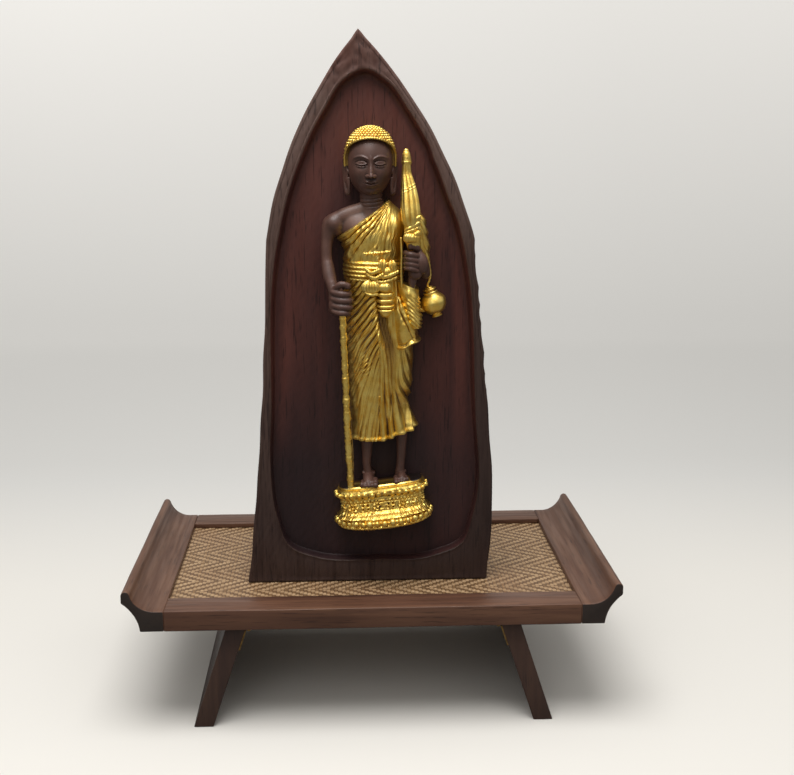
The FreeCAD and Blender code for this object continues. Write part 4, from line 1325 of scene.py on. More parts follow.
def left_fold(x, level):
    """The level at which the fold through a point leaves the middle: folds are steeper lower down."""
    aside = np.maximum(SKIRT_MIDDLE - x, 0)
    low, high = level + 0 * x, level + 0 * x + 140.0
    for _ in range(16):
        start = (low + high) / 2
        steep = np.interp(start, (150, 185, 203, 214, 226, 236, 250),
                          (9.0, 4.2, 2.5, 1.8, 1.35, 1.05, 0.85))
        fall = steep * aside * (0.25 + aside / 12) ** 0.3
        below = start - fall < level
        low, high = np.where(below, start, low), np.where(below, high, start)
    return (low + high) / 2


def skirt_phase(x, level):
    """Left of the middle the folds swing down to the side; right of it they fan to the hem."""
    left = np.interp(left_fold(x, level), (120, 150, 185, 203, 230, 290, 400),
                     (-3.6, -2.4, 0, 1.7, 5.4, 15.4, 31))
    drop = flow((118, 130, 146, 170, 200, 232, 270), (92, 80, 65, 45, 32, 25, 20), level)
    right = (np.degrees(np.arctan2(x - 7, drop)) - 9.2) / 6.0 + 0.8
    return np.where(x < SKIRT_MIDDLE, left, right)


def recess_middle(level):
    """Where the deep fold under the knot runs."""
    return flow((138, 170, 206, 225, 240), (13.0, 17.2, 14.8, 9.6, 8.8), level)


def recess_share(x, level):
    """How far a point lies in that fold: all of it above, a narrow line near the hem."""
    reach = np.interp(level, (140, 180, 206, 225), (1.6, 2.4, 5.2, 4.2))
    strong = np.interp(level, (140, 165, 190, 205), (0.2, 0.4, 0.75, 1.0))
    return np.exp(-((x - recess_middle(level)) / reach) ** 4) * strong


def skirt_folds(x, level, u):
    phase = skirt_phase(x, level) + 0.16 * wander(x, level * 0.4, 12, 51)
    left = fade(x, SKIRT_MIDDLE + 1.5, SKIRT_MIDDLE - 1.5)
    high = fade(level, 172, 214)
    right_depth = 0.5 + 0.7 * fade(level, 204, 186) + 1.9 * fade(level, 182, 156)
    calm = 1 - 0.5 * fade(x, -4, -12) * fade(level, 224, 208)
    depth = left * (0.55 + 1.75 * high) * calm + (1 - left) * right_depth
    bold = depth * (pleats(phase, 1.25) ** 1.35 - 0.4)
    small = 0.6 * wander(x, level * 0.3, 9, 52)
    fine = (0.28 + 0.32 * left * high) * pleats(phase * 2.4 + small, 1.3)
    rough = 0.35 * wander(x, level * 0.45, 5, 54) * left * fade(x, -4, -14)
    recess = x - recess_middle(level)
    middle = recess_share(x, level)
    inner = 0.8 * pleats(recess / 2.9, 1.3) * hump(recess, 0, 7.0)
    tight = 1.5 * pleats((x * 0.75 - level * 0.66) / 2.0, 1.2)
    tight = tight * np.exp(-((x + 5) / 4.4) ** 2 - ((level - 190) / 9) ** 2)
    over_hem = level - hem_level(x)
    lip = (0.4 + 0.5 * pleats(phase * 2, 1.5)) * hump(over_hem, 1.2, 1.3) - 0.3 * hump(over_hem, 4.2, 1.4)
    bell = 1.1 * fade(over_hem, 22, 0) * (pleats(phase, 1.5) - 0.3)
    return bold * (1 - middle) + fine + rough - 3.6 * middle + inner * (0.25 + middle) + tight + lip + bell


def skirt_painted_shade(x, y, level):
    """Painted shade in the deep fold under the knot, and a painted shadow of the staff on the strip behind
    it.
    """
    deep = recess_share(x, level) * 0.85
    # painted shadow of the staff
    strip = hump(x, -16.5, 2.4) * fade(level, 128, 150) * 0.55 * (1 + 0.6 * wander(x, level, 6, 59))
    return np.clip(deep + strip, 0, 0.9)


skirt = relief(skirt_stations, 380, 300, skirt_folds, bottom=hem_level)
gilded("pleated_skirt", skirt, ["lower_robe"], (60, 0.7), skirt_painted_shade)

# %% The robe over the shoulder
ROBE_HIGH = (14.8, 322.0)
ROBE_LOW = (-25.4, 292.9)
robe_way = np.subtract(ROBE_HIGH, ROBE_LOW) / math.dist(ROBE_HIGH, ROBE_LOW)
FOCUS = (20.0, 326.0)
torso_stations = [
    (268.0, -21.2, 26.6, 27.6), (275.0, -20.8, 26.4, 27.4), (283.0, -21.4, 27.0, 27.6),
    (292.0, -25.3, 28.0, 28.0), (303.0, -27.0, 29.0, 26.0), (313.0, -24.5, 26.0, 21.8),
    (319.5, -11.0, 20.0, 17.8), (324.0, -4.0, 17.5, 15.5),
]


def robe_top(x):
    rise = ROBE_LOW[1] + (x - ROBE_LOW[0]) * robe_way[1] / robe_way[0]
    return np.where(x < ROBE_HIGH[0], rise, ROBE_HIGH[1] - 0.9 * (x - ROBE_HIGH[0]))


def robe_folds(x, level, u):
    below = (x - ROBE_LOW[0]) * robe_way[1] - (level - ROBE_LOW[1]) * robe_way[0]
    away = np.hypot(FOCUS[0] - x, FOCUS[1] - level)
    angle = np.degrees(np.arctan2(FOCUS[1] - level, FOCUS[0] - x)) + 0.6 * wander(x, level, 16, 55)
    broad = fade(angle, 60, 52)
    grow = np.clip((away - 3) / 26, 0.1, 1)
    bold = 2.2 * pleats((angle - 35.2) / 6.2, 1.9) * broad
    small = 0.4 * pleats((angle - 35.2) / 2.07 + 0.3 * wander(x, level, 9, 57), 1.3) * broad
    fan = 0.5 * pleats(angle / 5.4 + 0.4 * wander(x, level, 14, 58), 1.3) * (1 - broad)
    fan = fan + 0.28 * pleats(angle / 2.3 + 0.6 * wander(x, level, 8, 56), 1.3) * (1 - broad)
    fan = fan * (0.6 + 0.5 * wander(x * 1.4, level, 13, 60)) + 0.3 * wander(x * 1.6, level * 0.6, 5, 66)
    smooth = np.exp(-((x - 21.4) / 3.8) ** 2 - ((level - 304.0) / 7.0) ** 2)
    folds = (bold + small + fan * fade(level, 270, 276)) * grow * (1 - 0.85 * smooth) + 2.6 * smooth
    edge = 0.9 * hump(below, 1.5, 1.5) * grow
    pinch = level - (280.4 + 0.07 * (x + 4.5))
    tuck = 1.2 * hump(pinch, 0, 0.9) * fade(x, -7, -4) * fade(x, 17, 13) * (0.75 + 0.25 * np.sin(x * 3.1))
    return folds + edge + tuck - 0.3


over_robe = relief(torso_stations, 320, 220, robe_folds, top=robe_top)
gilded("shoulder_robe", over_robe, ["upper_robe"], (40, 0.6))

# %% [markdown]
# The sash is wound three times round the waist and tied in front. Its two loops stand up, its gathered
# end opens like a fan, and the long end is folded to and fro and hangs down, so it shows as bars.

# %% The sash and its knot
def sash_winding(x, level, u):
    """Three windings with the twist of the cloth cut into them."""
    twist = 0.25 * pleats((x * 0.8 + level) / 2.1, 1.3)
    slope = level + 0.03 * x
    return 1.5 * pleats((slope - 263.9) / 3.5, 1.6) + twist - 0.7


sash = relief([(258.0, -20.8, 26.8, 26.6), (262.0, -21.8, 27.6, 28.6), (269.0, -22.0, 27.8, 29.0),
               (275.0, -20.8, 26.6, 27.2)], 260, 84, sash_winding)
gilded("wound_sash", sash, ["waist_sash"], (12, 0.4))


ROUND = 6.28        # once round, as the creases count it


def puff(place, radii, folds, depth, lean=0):
    """Gathered cloth: an egg with creases that run from pole to pole."""
    return ball(place, radii, 72, 30,
                lambda around, height: depth * (pleats(around * folds / ROUND, 1.3) - 0.5), lean)


KNOT_FRONT = -29.5


def knot_cord(points, radius):
    """A twisted roll of cloth; its points are (x, height over the knot's front, level)."""
    stations = [(x, KNOT_FRONT - proud, level, radius) for x, proud, level in points]
    return limb(stations, 20, 46, lambda u, share, centre: 0.22 * np.sin(2 * math.pi * (2 * u + 7 * share)),
                (0, 0, 1))


loops = [
    puff((8.6, KNOT_FRONT - 1.4, 271.0), (3.3, 3.0, 5.2), 9, 0.22, 8),
    puff((17.0, KNOT_FRONT - 0.4, 270.6), (3.2, 3.0, 4.8), 9, 0.22, -10),
    puff((12.6, KNOT_FRONT - 1.8, 266.4), (3.0, 2.8, 3.2), 7, 0.2),
    knot_cord([(-4.0, 0.4, 268.4), (0.5, 2.4, 265.8), (6.0, 3.2, 268.0)], 1.6),
    knot_cord([(-3.0, 0.2, 264.2), (3.0, 2.8, 261.6), (9.0, 3.2, 264.4)], 1.7),
    knot_cord([(9.0, 2.6, 262.4), (15.0, 2.4, 264.0), (21.0, 0.0, 266.4)], 1.7),
    knot_cord([(3.0, 1.8, 259.2), (10.0, 2.6, 258.6), (20.0, -0.6, 261.8)], 1.5),
]
fan = ball((0.0, KNOT_FRONT - 1.2, 254.2), (7.6, 4.6, 5.6), 120, 60,
           lambda around, height: 0.13 * (pleats(around * 17 / ROUND + 0.1 * np.sin(4 * around), 1.3) - 0.5)
           * fade(height, -0.7, -0.2))
fan_edge = limb([(-7.2, KNOT_FRONT + 0.8, 253.2, 0.8), (-4.6, KNOT_FRONT - 2.2, 250.2, 1.1),
                 (-0.3, KNOT_FRONT - 3.4, 248.6, 1.25), (4.8, KNOT_FRONT - 2.4, 248.8, 1.0)], 24, 60,
                steady=(0, 0, 1))
knot_ball = puff((10.8, KNOT_FRONT - 2.2, 254.2), (5.2, 3.8, 3.9), 9, 0.1)
gilded("sash_bow", joined(loops + [fan, fan_edge, knot_ball]), ["sash_knot"], (10, 0.4))

# %% The folded end of the sash
# level, half width and thickness of each bar
BARS = [(248.2, 5.4, 2.0), (243.2, 5.8, 1.5), (238.6, 6.0, 1.35), (235.2, 5.6, 1.2)]
bars = []
for level, reach, thick in BARS:
    middle = 11.2 + (248 - level) * 0.03
    ends = [(middle - reach, KNOT_FRONT + 1.0, level + 0.5, thick * 0.85),
            (middle - reach * 0.6, KNOT_FRONT - 1.8, level - 0.1, thick),
            (middle + reach * 0.6, KNOT_FRONT - 1.8, level - 0.1, thick),
            (middle + reach, KNOT_FRONT + 1.0, level + 0.5, thick * 0.85)]
    bars.append(limb(ends, 28, 48, lambda u, share, centre: 0.1 * np.sin(share * 19), (0, 0, 1)))
core = limb([(11.4, KNOT_FRONT + 4.4, 233.4, 4.6), (11.4, KNOT_FRONT + 3.4, 240.0, 4.8),
             (11.2, KNOT_FRONT + 3.0, 248.0, 4.8), (11.0, KNOT_FRONT + 2.6, 255.0, 4.4)], 40, 40)
gilded("sash_end", joined(bars + [core]), ["sash_tail"], (8, 0.5))

# %% [markdown]
# At the monk's left side the robe's end hangs in two flaps, and a last fold of it falls from the
# shoulder behind the umbrella. Each is a relief of its own, so it throws a real shadow on the skirt.

# %% Flaps and shoulder drape
def upper_flap_folds(x, level, u):
    """Flat cloth with fine curved folds low on its right side, and a clean left edge."""
    slant = x * 0.76 + level * 0.62 + 0.012 * (x - 40) ** 2
    right = fade(x, 25, 30) * fade(level, 249, 240)
    curves = 0.85 * pleats(slant / 2.0, 1.3) * right
    left_edge = 1.3 * hump(x - np.interp(level, (222, 233, 246, 257), (31.4, 28.6, 23.8, 21.6)), 1.0, 1.3)
    return curves + left_edge + 0.5 * wander(x, level * 0.6, 11, 62) + 0.3 * wander(x, level, 4, 61)


def upper_flap_top(x):
    return 257.6 - np.clip(x - 23, 0, 20) * 0.42


upper_flap = relief([(220.4, 32.4, 40.4, 29.0), (224.0, 30.8, 41.0, 30.6), (233.0, 28.0, 40.6, 31.4),
                     (242.0, 24.8, 40.2, 31.4), (250.0, 22.2, 39.6, 30.8), (259.0, 20.6, 38.0, 28.0)],
                    160, 140, upper_flap_folds, top=upper_flap_top, fullness=0.7)
gilded("robe_flap_upper", upper_flap, ["robe_end_upper"], (30, 0.5))


def lower_flap_bottom(x):
    return np.interp(x, (20.0, 27.0, 33.0, 38.0), (202.0, 203.8, 208.0, 208.6))


def lower_flap_folds(x, level, u):
    """A broad smooth fold, a dark cut along the upper flap, and a turned-up lip."""
    cut = x - np.interp(level, (213, 236), (33.6, 21.4))
    over = level - lower_flap_bottom(x)
    lip = 1.6 * hump(over, 1.3, 1.2) - 0.8 * hump(over, 4.0, 1.4)
    left_edge = 0.8 * hump(x - np.interp(level, (203, 234), (21.6, 17.4)), 0.8, 1.2)
    soft = 0.7 * wander(x, level * 0.7, 15, 64) + 0.25 * wander(x, level, 5, 63)
    return lip + left_edge + soft - 1.6 * hump(cut, 0.6, 0.9) * fade(level, 209, 214)


lower_flap = relief([(198.0, 20.6, 36.0, 29.0), (205.0, 20.2, 38.2, 29.8), (210.0, 19.6, 38.4, 30.4),
                     (222.0, 18.0, 36.6, 30.6), (233.0, 16.4, 32.0, 29.8), (246.0, 17.0, 25.0, 27.0)],
                    140, 160, lower_flap_folds, bottom=lower_flap_bottom, fullness=0.7)
gilded("robe_flap_lower", lower_flap, ["robe_end_lower"], (30, 0.5))


def drape_folds(x, level, u):
    """Straight ridges that fall from the umbrella's tie to the elbow."""
    angle = np.degrees(np.arctan2(330 - level, x - 22))
    lines = 1.5 * pleats(angle / 6.4 + 0.15 * wander(x, level, 12, 65), 1.5)
    return lines + 0.35 * pleats(angle / 2.5, 1.3) - 0.6


drape = relief([(264.0, 38.0, 46.0, 17.0), (270.0, 35.0, 47.2, 21.0), (278.0, 32.0, 47.6, 24.6),
                (290.0, 30.0, 46.6, 26.4), (300.0, 28.0, 45.0, 26.0), (308.0, 26.0, 43.0, 23.0),
                (314.0, 26.0, 38.0, 18.0)], 160, 180, drape_folds, fullness=0.6)
gilded("shoulder_drape", drape, ["sleeve_drape"], (30, 0.6))

# %% [markdown]
# ## Skin: shoulder, arm and neck
#
# The bare shoulder, the arm and the chest are one piece of carving, so they are one skin here. Limbs
# and a chest relief overlap, the remesh joins them, and smoothing rounds the hollow of the armpit.
# The neck keeps its own grid, because its three creases are finer than a voxel.

# %% Chest and right arm
chest_form = relief([(262.0, -19.0, 22.0, 24.0), (280.0, -20.4, 24.0, 26.0), (292.0, -23.0, 26.0, 26.8),
                     (298.0, -26.4, 26.6, 26.4), (304.0, -27.6, 27.0, 24.6), (310.0, -26.4, 24.0, 21.2),
                     (315.0, -19.0, 17.0, 17.8), (318.5, -11.0, 12.0, 15.0)], 100, 80)
shoulder_ball = ball((-28.8, -12.0, 303.4), (8.4, 9.2, 8.2))
shoulder_slope = limb([(-28.0, -12.0, 305.6, 6.6), (-19.0, -12.6, 310.2, 6.2), (-9.0, -13.0, 313.4, 6.4),
                       (-2.0, -13.4, 315.6, 6.4)])
neck_root = limb([(1.6, -11.0, 306.0, 13.0), (1.6, -12.2, 313.0, 10.8), (1.2, -13.4, 319.0, 9.0),
                  (0.8, -14.0, 324.0, 8.6)])
upper_arm = limb([(-34.9, -15.0, 270.0, 4.5), (-35.2, -14.0, 279.0, 4.6), (-34.8, -13.0, 289.0, 4.9),
                  (-33.4, -12.2, 297.0, 6.0), (-31.6, -12.0, 303.0, 7.0)])
forearm = limb([(-30.0, -25.0, 251.0, 4.0), (-31.6, -22.0, 256.5, 4.6), (-33.4, -18.4, 263.5, 5.4),
                (-34.6, -15.4, 271.5, 5.0)])
elbow = ball((-34.8, -14.2, 271.0), (5.2, 5.0, 4.6))
armpit = ball((-26.4, -11.0, 299.0), (5.4, 7.0, 6.0))
body_skin = fused([chest_form, shoulder_ball, shoulder_slope, neck_root, upper_arm, forearm, elbow,
                   armpit], 0.75, 11)


def neck_creases(u, share, centre):
    level = centre[:, 2]
    return -0.6 * (hump(level, 318.4, 0.5) + hump(level, 321.2, 0.5) + hump(level, 324.0, 0.45))


neck = limb([(1.6, -12.0, 312.0, 9.0), (1.4, -13.2, 317.0, 9.3), (0.8, -14.0, 323.0, 9.1),
             (0.4, -14.6, 329.0, 8.9), (0.0, -15.0, 335.0, 9.2)], 72, 110, neck_creases)
lacquered("bare_shoulder_and_arm", joined([cut_at_floor(body_skin), cut_at_floor(neck)]),
          ["chest", "arm_right"], (16, 0.6))

# %% [markdown]
# ## Head
#
# The face is a design for this file: calm, with lowered lids, and set out by the usual rule that the
# eyes lie half way up the head and the nose and mouth divide the lower half. One egg is swept round
# with most of its columns at the front. Each feature is a soft bump or cut of stated size, added to
# the egg's reach.

# %% Face
CHIN, WIDEST, SKULL_TOP = 325.0, 352.0, 377.5
HEAD_PLACE = Vector((0.0, -15.0, 0.0))
HEAD_HALF, HEAD_FRONT, HEAD_BACK = 17.6, 20.5, 17.0
EYE_OUT, EYE_LEVEL = 7.3, 350.6
BROW_LEVEL, NOSE_LEVEL, MOUTH_LEVEL = 355.0, 341.0, 335.4


def dome(share):
    """A rounded bump with a definite edge where share is 1, as a ball set in the surface has."""
    return np.sqrt(np.clip(1 - share ** 2, 0, 1))


def face_relief(x, level):
    """How far the face stands out from the egg at each place across and up."""
    side = np.abs(x)
    brow_line = BROW_LEVEL - 1.6 + 3.0 * np.sin(np.clip((side - 1.4) / 13.5, 0, 1) * math.pi) ** 0.8
    brow_reach = fade(side, 0.8, 2.6) * fade(side, 15.0, 11.5)
    from_eye = np.abs(side - EYE_OUT)
    eye = np.hypot((side - EYE_OUT) / 4.6, (level - EYE_LEVEL) / 2.7)
    slit_line = EYE_LEVEL - 1.5 + 0.055 * from_eye ** 2
    slit_reach = fade(from_eye, 4.9, 3.9)
    fold_line = EYE_LEVEL + 2.5 - 0.06 * from_eye ** 2
    down = np.clip((BROW_LEVEL - 1.5 - level) / (BROW_LEVEL - 1.5 - NOSE_LEVEL), 0, 1)
    under = fade(level, NOSE_LEVEL - 2.0, NOSE_LEVEL - 0.3)
    ridge = (0.6 + 4.9 * down ** 1.3) * under * fade(level, BROW_LEVEL + 3.5, BROW_LEVEL - 2)
    nose_width = 1.3 + 1.1 * down
    tip = np.hypot(side / 2.3, (level - NOSE_LEVEL - 0.8) / 1.9)
    wing = np.hypot((side - 3.0) / 1.7, (level - NOSE_LEVEL - 0.2) / 1.7)
    mouth_line = MOUTH_LEVEL + 0.022 * side ** 2 - 0.25 * np.cos(side * 1.1) * fade(side, 3, 1)
    lips = 1.1 * hump(level, mouth_line + 1.1, 1.0) + 1.3 * hump(level, mouth_line - 1.3, 1.2)

    def swelling(across, across_reach, up, up_reach):
        return np.exp(-((side - across) / across_reach) ** 2 - ((level - up) / up_reach) ** 2)

    return sum([
        0.85 * hump(level, brow_line, 0.9) * brow_reach,                # brow
        -2.3 * swelling(6.6, 5.0, EYE_LEVEL + 0.3, 3.1),                # socket
        2.2 * dome(eye),                                                # eyeball under its lid
        -0.85 * hump(level, slit_line, 0.42) * slit_reach,              # nearly closed eye
        0.35 * hump(level, slit_line + 0.9, 0.4) * slit_reach,          # edge of the upper lid
        0.4 * hump(level, slit_line - 1.1, 0.5) * slit_reach,           # edge of the lower lid
        -0.45 * hump(level, fold_line, 0.4) * fade(from_eye, 5.2, 3.6),  # fold over the lid
        ridge * np.exp(-(side / nose_width) ** 2.4),                    # bridge of the nose
        dome(tip),
        2.1 * dome(wing),                                               # wing of the nose
        -0.9 * swelling(1.6, 0.7, NOSE_LEVEL - 1.4, 0.5),               # nostril
        -0.35 * hump(side, 0, 0.7) * hump(level, MOUTH_LEVEL + 3.0, 1.1),   # groove over the lip
        lips * fade(side, 5.4, 3.0),
        -0.95 * hump(level, mouth_line, 0.38) * fade(side, 6.2, 4.6),   # line between the lips
        1.1 * swelling(0, 7, MOUTH_LEVEL, 4.5),                         # round of the mouth
        -0.8 * swelling(0, 4.5, MOUTH_LEVEL - 4.2, 1.3),                # hollow over the chin
        1.6 * swelling(0, 5.0, CHIN + 3.4, 2.9),                        # chin
        1.1 * swelling(10.2, 4.4, 342.5, 5.0),                          # cheek
        -0.5 * swelling(7.2, 1.6, 337, 3.4),                            # beside the mouth
    ])


def egg_reach(level, low, wide, high):
    """Share of the full width at each level of an upright egg."""
    below = np.clip((wide - level) / (wide - low), 0, 1)
    above = np.clip((level - wide) / (high - wide), 0, 1)
    return np.sqrt(np.clip(1 - np.where(level < wide, below ** 2.3, above ** 2.0), 0, 1))


def head_form():
    def place(u, v):
        half_turn = (v - 0.5) * math.pi
        level = WIDEST + np.where(v < 0.5, WIDEST - CHIN, SKULL_TOP - WIDEST) * np.sin(half_turn)
        turn = 2 * math.pi * (u - 0.14 * np.sin(2 * math.pi * u))
        reach = egg_reach(level, CHIN - 0.01, WIDEST, SKULL_TOP + 0.01)
        jaw = 1 - 0.1 * fade(level, 348, 326) * (1 - np.abs(np.sin(turn)))
        x = HEAD_HALF * reach * np.sin(turn) * jaw
        depth = np.where(np.cos(turn) > 0, HEAD_FRONT, HEAD_BACK)
        forward = fade(np.cos(turn), 0.05, 0.6)
        y = -depth * reach ** np.where(level < WIDEST, 0.75, 1.0) * np.cos(turn)
        y = y - face_relief(x, level) * forward * fade(reach, 0.02, 0.3)
        return HEAD_PLACE.x + x, HEAD_PLACE.y + y, level

    return surface(260, 230, place)


def ear(side):
    """A long ear: a rolled rim, a plate and a heavy lobe."""
    out = [HEAD_PLACE.x + side * reach for reach in (16.6, 19.4, 20.6, 20.2, 19.2, 17.8)]
    rim = limb([(out[0], -14.6, 351.0, 1.2), (out[1], -12.6, 352.0, 1.5), (out[2], -9.8, 348.0, 1.7),
                (out[3], -10.0, 340.0, 1.5), (out[4], -11.6, 332.0, 1.8), (out[5], -13.4, 327.4, 2.2),
                (out[5] - side * 1.0, -14.8, 331.5, 1.3), (out[0], -14.8, 339.0, 1.0)], 20, 70)
    plate = ball((out[4] - side * 1.0, -11.8, 340.0), (1.4, 3.4, 11.4))
    flap = ball((out[0] + side * 0.6, -14.6, 344.0), (1.2, 1.4, 1.9))
    fold = limb([(out[1], -13.6, 349.4, 0.8), (out[2] - side * 0.6, -12.0, 344.0, 0.9),
                 (out[4], -12.8, 337.0, 0.8)], 14, 30)
    return fused([rim, plate, flap, fold], 0.4, 2)


lacquered("head_and_ears", joined([head_form(), ear(-1), ear(1)]), ["head"], (14, 0.5))

# %% [markdown]
# The hair is a gilded cap of small curls under a smooth band. The cap is the head's egg, a little
# larger. Its edge is a level for each angle from the front: high and nearly straight over the
# forehead, and low at the ears. The curls sit on rings; there are some hundreds, so each is a ball
# of few faces.

# %% Hair cap and curls
HAIR = 3.5
HAIR_TOP = 379.2
TEMPLE = 354.0
LINE_FRONT, LINE_SIDE = 370.0, 349.0
CURL_SPACING, CURL_SIZE = 2.6, 1.34


def hairline(turn):
    """Level of the hair's edge at an angle from the front: square over the temples, low at the side."""
    return LINE_SIDE + (LINE_FRONT - LINE_SIDE) * np.clip(np.cos(turn), 0, 1) ** 0.38


def on_cap(turn, level, proud):
    """A point of the cap at an angle from the front and a level, proud of the skull."""
    above = np.clip((level - TEMPLE) / (HAIR_TOP - TEMPLE), 0, 1)
    crown = (1 - above ** 2.15) ** 0.47
    reach = np.where(level < TEMPLE, egg_reach(level, CHIN, TEMPLE, HAIR_TOP), crown)
    x = (HEAD_HALF + proud) * reach * np.sin(turn)
    y = -(HEAD_FRONT + proud) * reach * np.cos(turn)
    return HEAD_PLACE.x + x, HEAD_PLACE.y + y, level


def cap_form():
    """The cap from its under edge, which is tucked into the skull, up to the crown."""
    def place(u, v):
        turn = 2 * math.pi * (u - 0.5)
        line = hairline(turn)
        level = line + (HAIR_TOP - 0.02 - line) * np.sin(np.clip((v - 0.05) / 0.95, 0, 1) * math.pi / 2)
        return on_cap(turn, level, np.where(v < 0.045, -3.0, HAIR - 0.9))

    return surface(240, 110, place)


def hair_curls():
    dice = np.random.default_rng(71)
    curls = []
    levels = TEMPLE - 14 + (HAIR_TOP + 14 - TEMPLE) * np.sin(np.linspace(0.02, 1.0, 200) * math.pi / 2)
    levels = np.minimum(levels, HAIR_TOP - 0.02)
    x, y, z = on_cap(math.pi / 2 + 0 * levels, levels, HAIR)
    way = np.concatenate([[0], np.cumsum(np.hypot(np.diff(x), np.diff(z)))])
    for row in range(int(way[-1] / (CURL_SPACING * 0.9)) + 1):
        level = float(np.interp(way[-1] - row * CURL_SPACING * 0.9, way, levels))
        reach = (float(on_cap(math.pi / 2, np.array([level]), 0.0)[0][0]) - HEAD_PLACE.x) / HEAD_HALF
        count = max(1, int(2 * math.pi * (HEAD_HALF + 1.5) * reach / CURL_SPACING))
        for i in range(count):
            turn = 2 * math.pi * (i + 0.5 * (row % 2)) / count
            x, y, z = on_cap(turn, level, HAIR - 1.1)
            if y > -1 or level - hairline(turn) < 0.8:
                continue
            size = CURL_SIZE * dice.uniform(0.86, 1.1)
            curls.append(ball((x, y, z), (size, size, size), 8, 6))
    return curls


def hair_band():
    """A thin smooth edge along the hairline, from the niche floor round the forehead and back."""
    stations = []
    for turn in np.radians(np.linspace(-118, 118, 61)):
        level = float(hairline(turn)) + 0.4
        x, y, z = on_cap(turn, level, HAIR - 1.0)
        if y < -3:
            stations.append((x, y, z, 0.9))
    return limb(stations, 14, 240, lambda u, share, centre: 0.14 * np.sin(share * 220), (0, 0, 1))


curls = hair_curls()
print(len(curls), "curls")
# the ground between the curls is darkened all over, as painted shade between them
gilded("hair_ground", cut_at_floor(cap_form()), ["hair_cap"], (6, 0.3), lambda x, y, level: 0.75 + 0 * x)
gilded("hair_of_curls", joined([hair_band()] + curls), ["hair_cap"], (2, 0.5))

# %% [markdown]
# ## Hands and feet
#
# A closed hand is an egg for its back and four bent rolls for its fingers, which go round what it
# holds. The remesh makes one skin of them; the lines between the fingers stay because each finger
# stands proud of the next one's side.

# %% The right hand round the staff
def finger(points, radius):
    """A finger through a few points, a little thicker at its joints."""
    stations = [(*point, radius) for point in points]
    return limb(stations, 20, 40, lambda u, share, centre: 0.22 * np.cos(share * math.pi * 4))


right_fingers = []
for i, level in enumerate((248.6, 243.4, 238.2, 233.4)):
    tip = (-17.8, -16.6, -16.8, -18.4)[i]
    right_fingers.append(finger([(-31.4, -22.6, level + 1.8), (-29.6, -28.8, level + 1.4),
                                 (-24.0, -32.4, level + 0.6), (tip - 1.4, -32.0, level + 0.2),
                                 (tip, -28.0, level - 0.2)], 2.7 - 0.12 * i))
right_thumb = finger([(-30.0, -24.6, 250.6), (-26.8, -30.2, 255.0), (-22.4, -32.4, 257.0),
                      (-18.6, -31.6, 255.4)], 2.7)
right_palm = ball((-27.6, -24.4, 242.6), (6.0, 6.6, 11.6), lean=12)
right_wrist = limb([(-29.0, -24.6, 245.0, 5.0), (-30.0, -24.4, 250.6, 4.3), (-31.4, -22.0, 256.5, 4.6)])
lacquered("hand_on_staff", fused([right_palm, right_wrist, right_thumb] + right_fingers, 0.45, 3),
          ["hand_right"], (12, 0.5))

# %% The left hand round the umbrella's handle
left_fingers = []
for i, level in enumerate((280.4, 276.4, 272.4, 268.6)):
    left_fingers.append(finger([(38.4, -27.0, level - 1.8), (35.8, -32.8, level - 0.9),
                                (31.6, -34.4, level + 0.2 * i), (28.2, -32.0, level + 0.7),
                                (27.6, -27.8, level + 0.6)], 2.3 - 0.1 * i))
left_thumb = finger([(38.6, -25.0, 282.0), (35.6, -30.6, 285.6), (31.4, -31.8, 286.8)], 2.5)
left_palm = ball((39.6, -27.0, 273.4), (5.8, 7.4, 9.6), lean=-14)
left_wrist = limb([(43.8, -20.0, 263.6, 3.9), (42.6, -23.0, 268.0, 4.6), (40.4, -25.4, 275.0, 4.8)])
left_heel = ball((35.0, -27.0, 264.6), (5.6, 6.0, 5.2))
lacquered("hand_on_handle", fused([left_palm, left_wrist, left_heel, left_thumb] + left_fingers, 0.42, 3),
          ["hand_left"], (12, 0.5))

# %% Shins and feet
# across at the foot, across at the knee, and the level where the skirt takes over
FEET = {"right": (-2.4, -3.6, 123.0), "left": (24.6, 25.0, 130.0)}


def foot(side):
    """A foot with an instep, ankle bones and five long toes that bend over the edge of the deck."""
    x = FEET[side][0]
    out = -1 if side == "right" else 1
    sole = deck_level(x)
    parts = [limb([(x - out * 0.4, -4.0, sole + 6.0, 5.0), (x, -10.5, sole + 5.6, 4.8),
                   (x + out * 0.4, -17.0, sole + 3.4, 4.4), (x + out * 0.6, -20.6, sole + 2.0, 3.9)]),
             ball((x, -16.5, sole + 2.0), (6.6, 5.8, 2.8)),
             ball((x, -8.0, sole + 3.0), (4.6, 5.6, 4.0)),
             ball((x - 4.0, -10.5, sole + 8.4), (1.6, 1.8, 1.7)),
             ball((x + 4.0, -10.0, sole + 7.6), (1.6, 1.8, 1.7))]
    for i in range(5):
        across = (i - 2) * 2.7
        long = 25.8 - 0.4 * i ** 1.4
        size = 1.85 - 0.15 * i if i else 2.3
        spot = x + out * across
        level = sole + math.tan(PEDESTAL_TILT) * (spot - x)
        parts.append(finger([(spot - out * 0.1 * i, -16.5, level + 3.2), (spot, -20.6, level + 2.9),
                             (spot + out * 0.2 * i, -23.4, level + 2.2),
                             (spot + out * 0.2 * i, -long, level + 0.9)], size))
    skin = fused(parts, 0.42, 2)
    if side == "left":
        heel = Matrix.Translation((x, -6.0, sole))
        bmesh.ops.transform(skin, matrix=heel @ Matrix.Diagonal((0.82, 0.84, 0.8, 1)) @ heel.inverted(),
                            verts=skin.verts)
    return skin


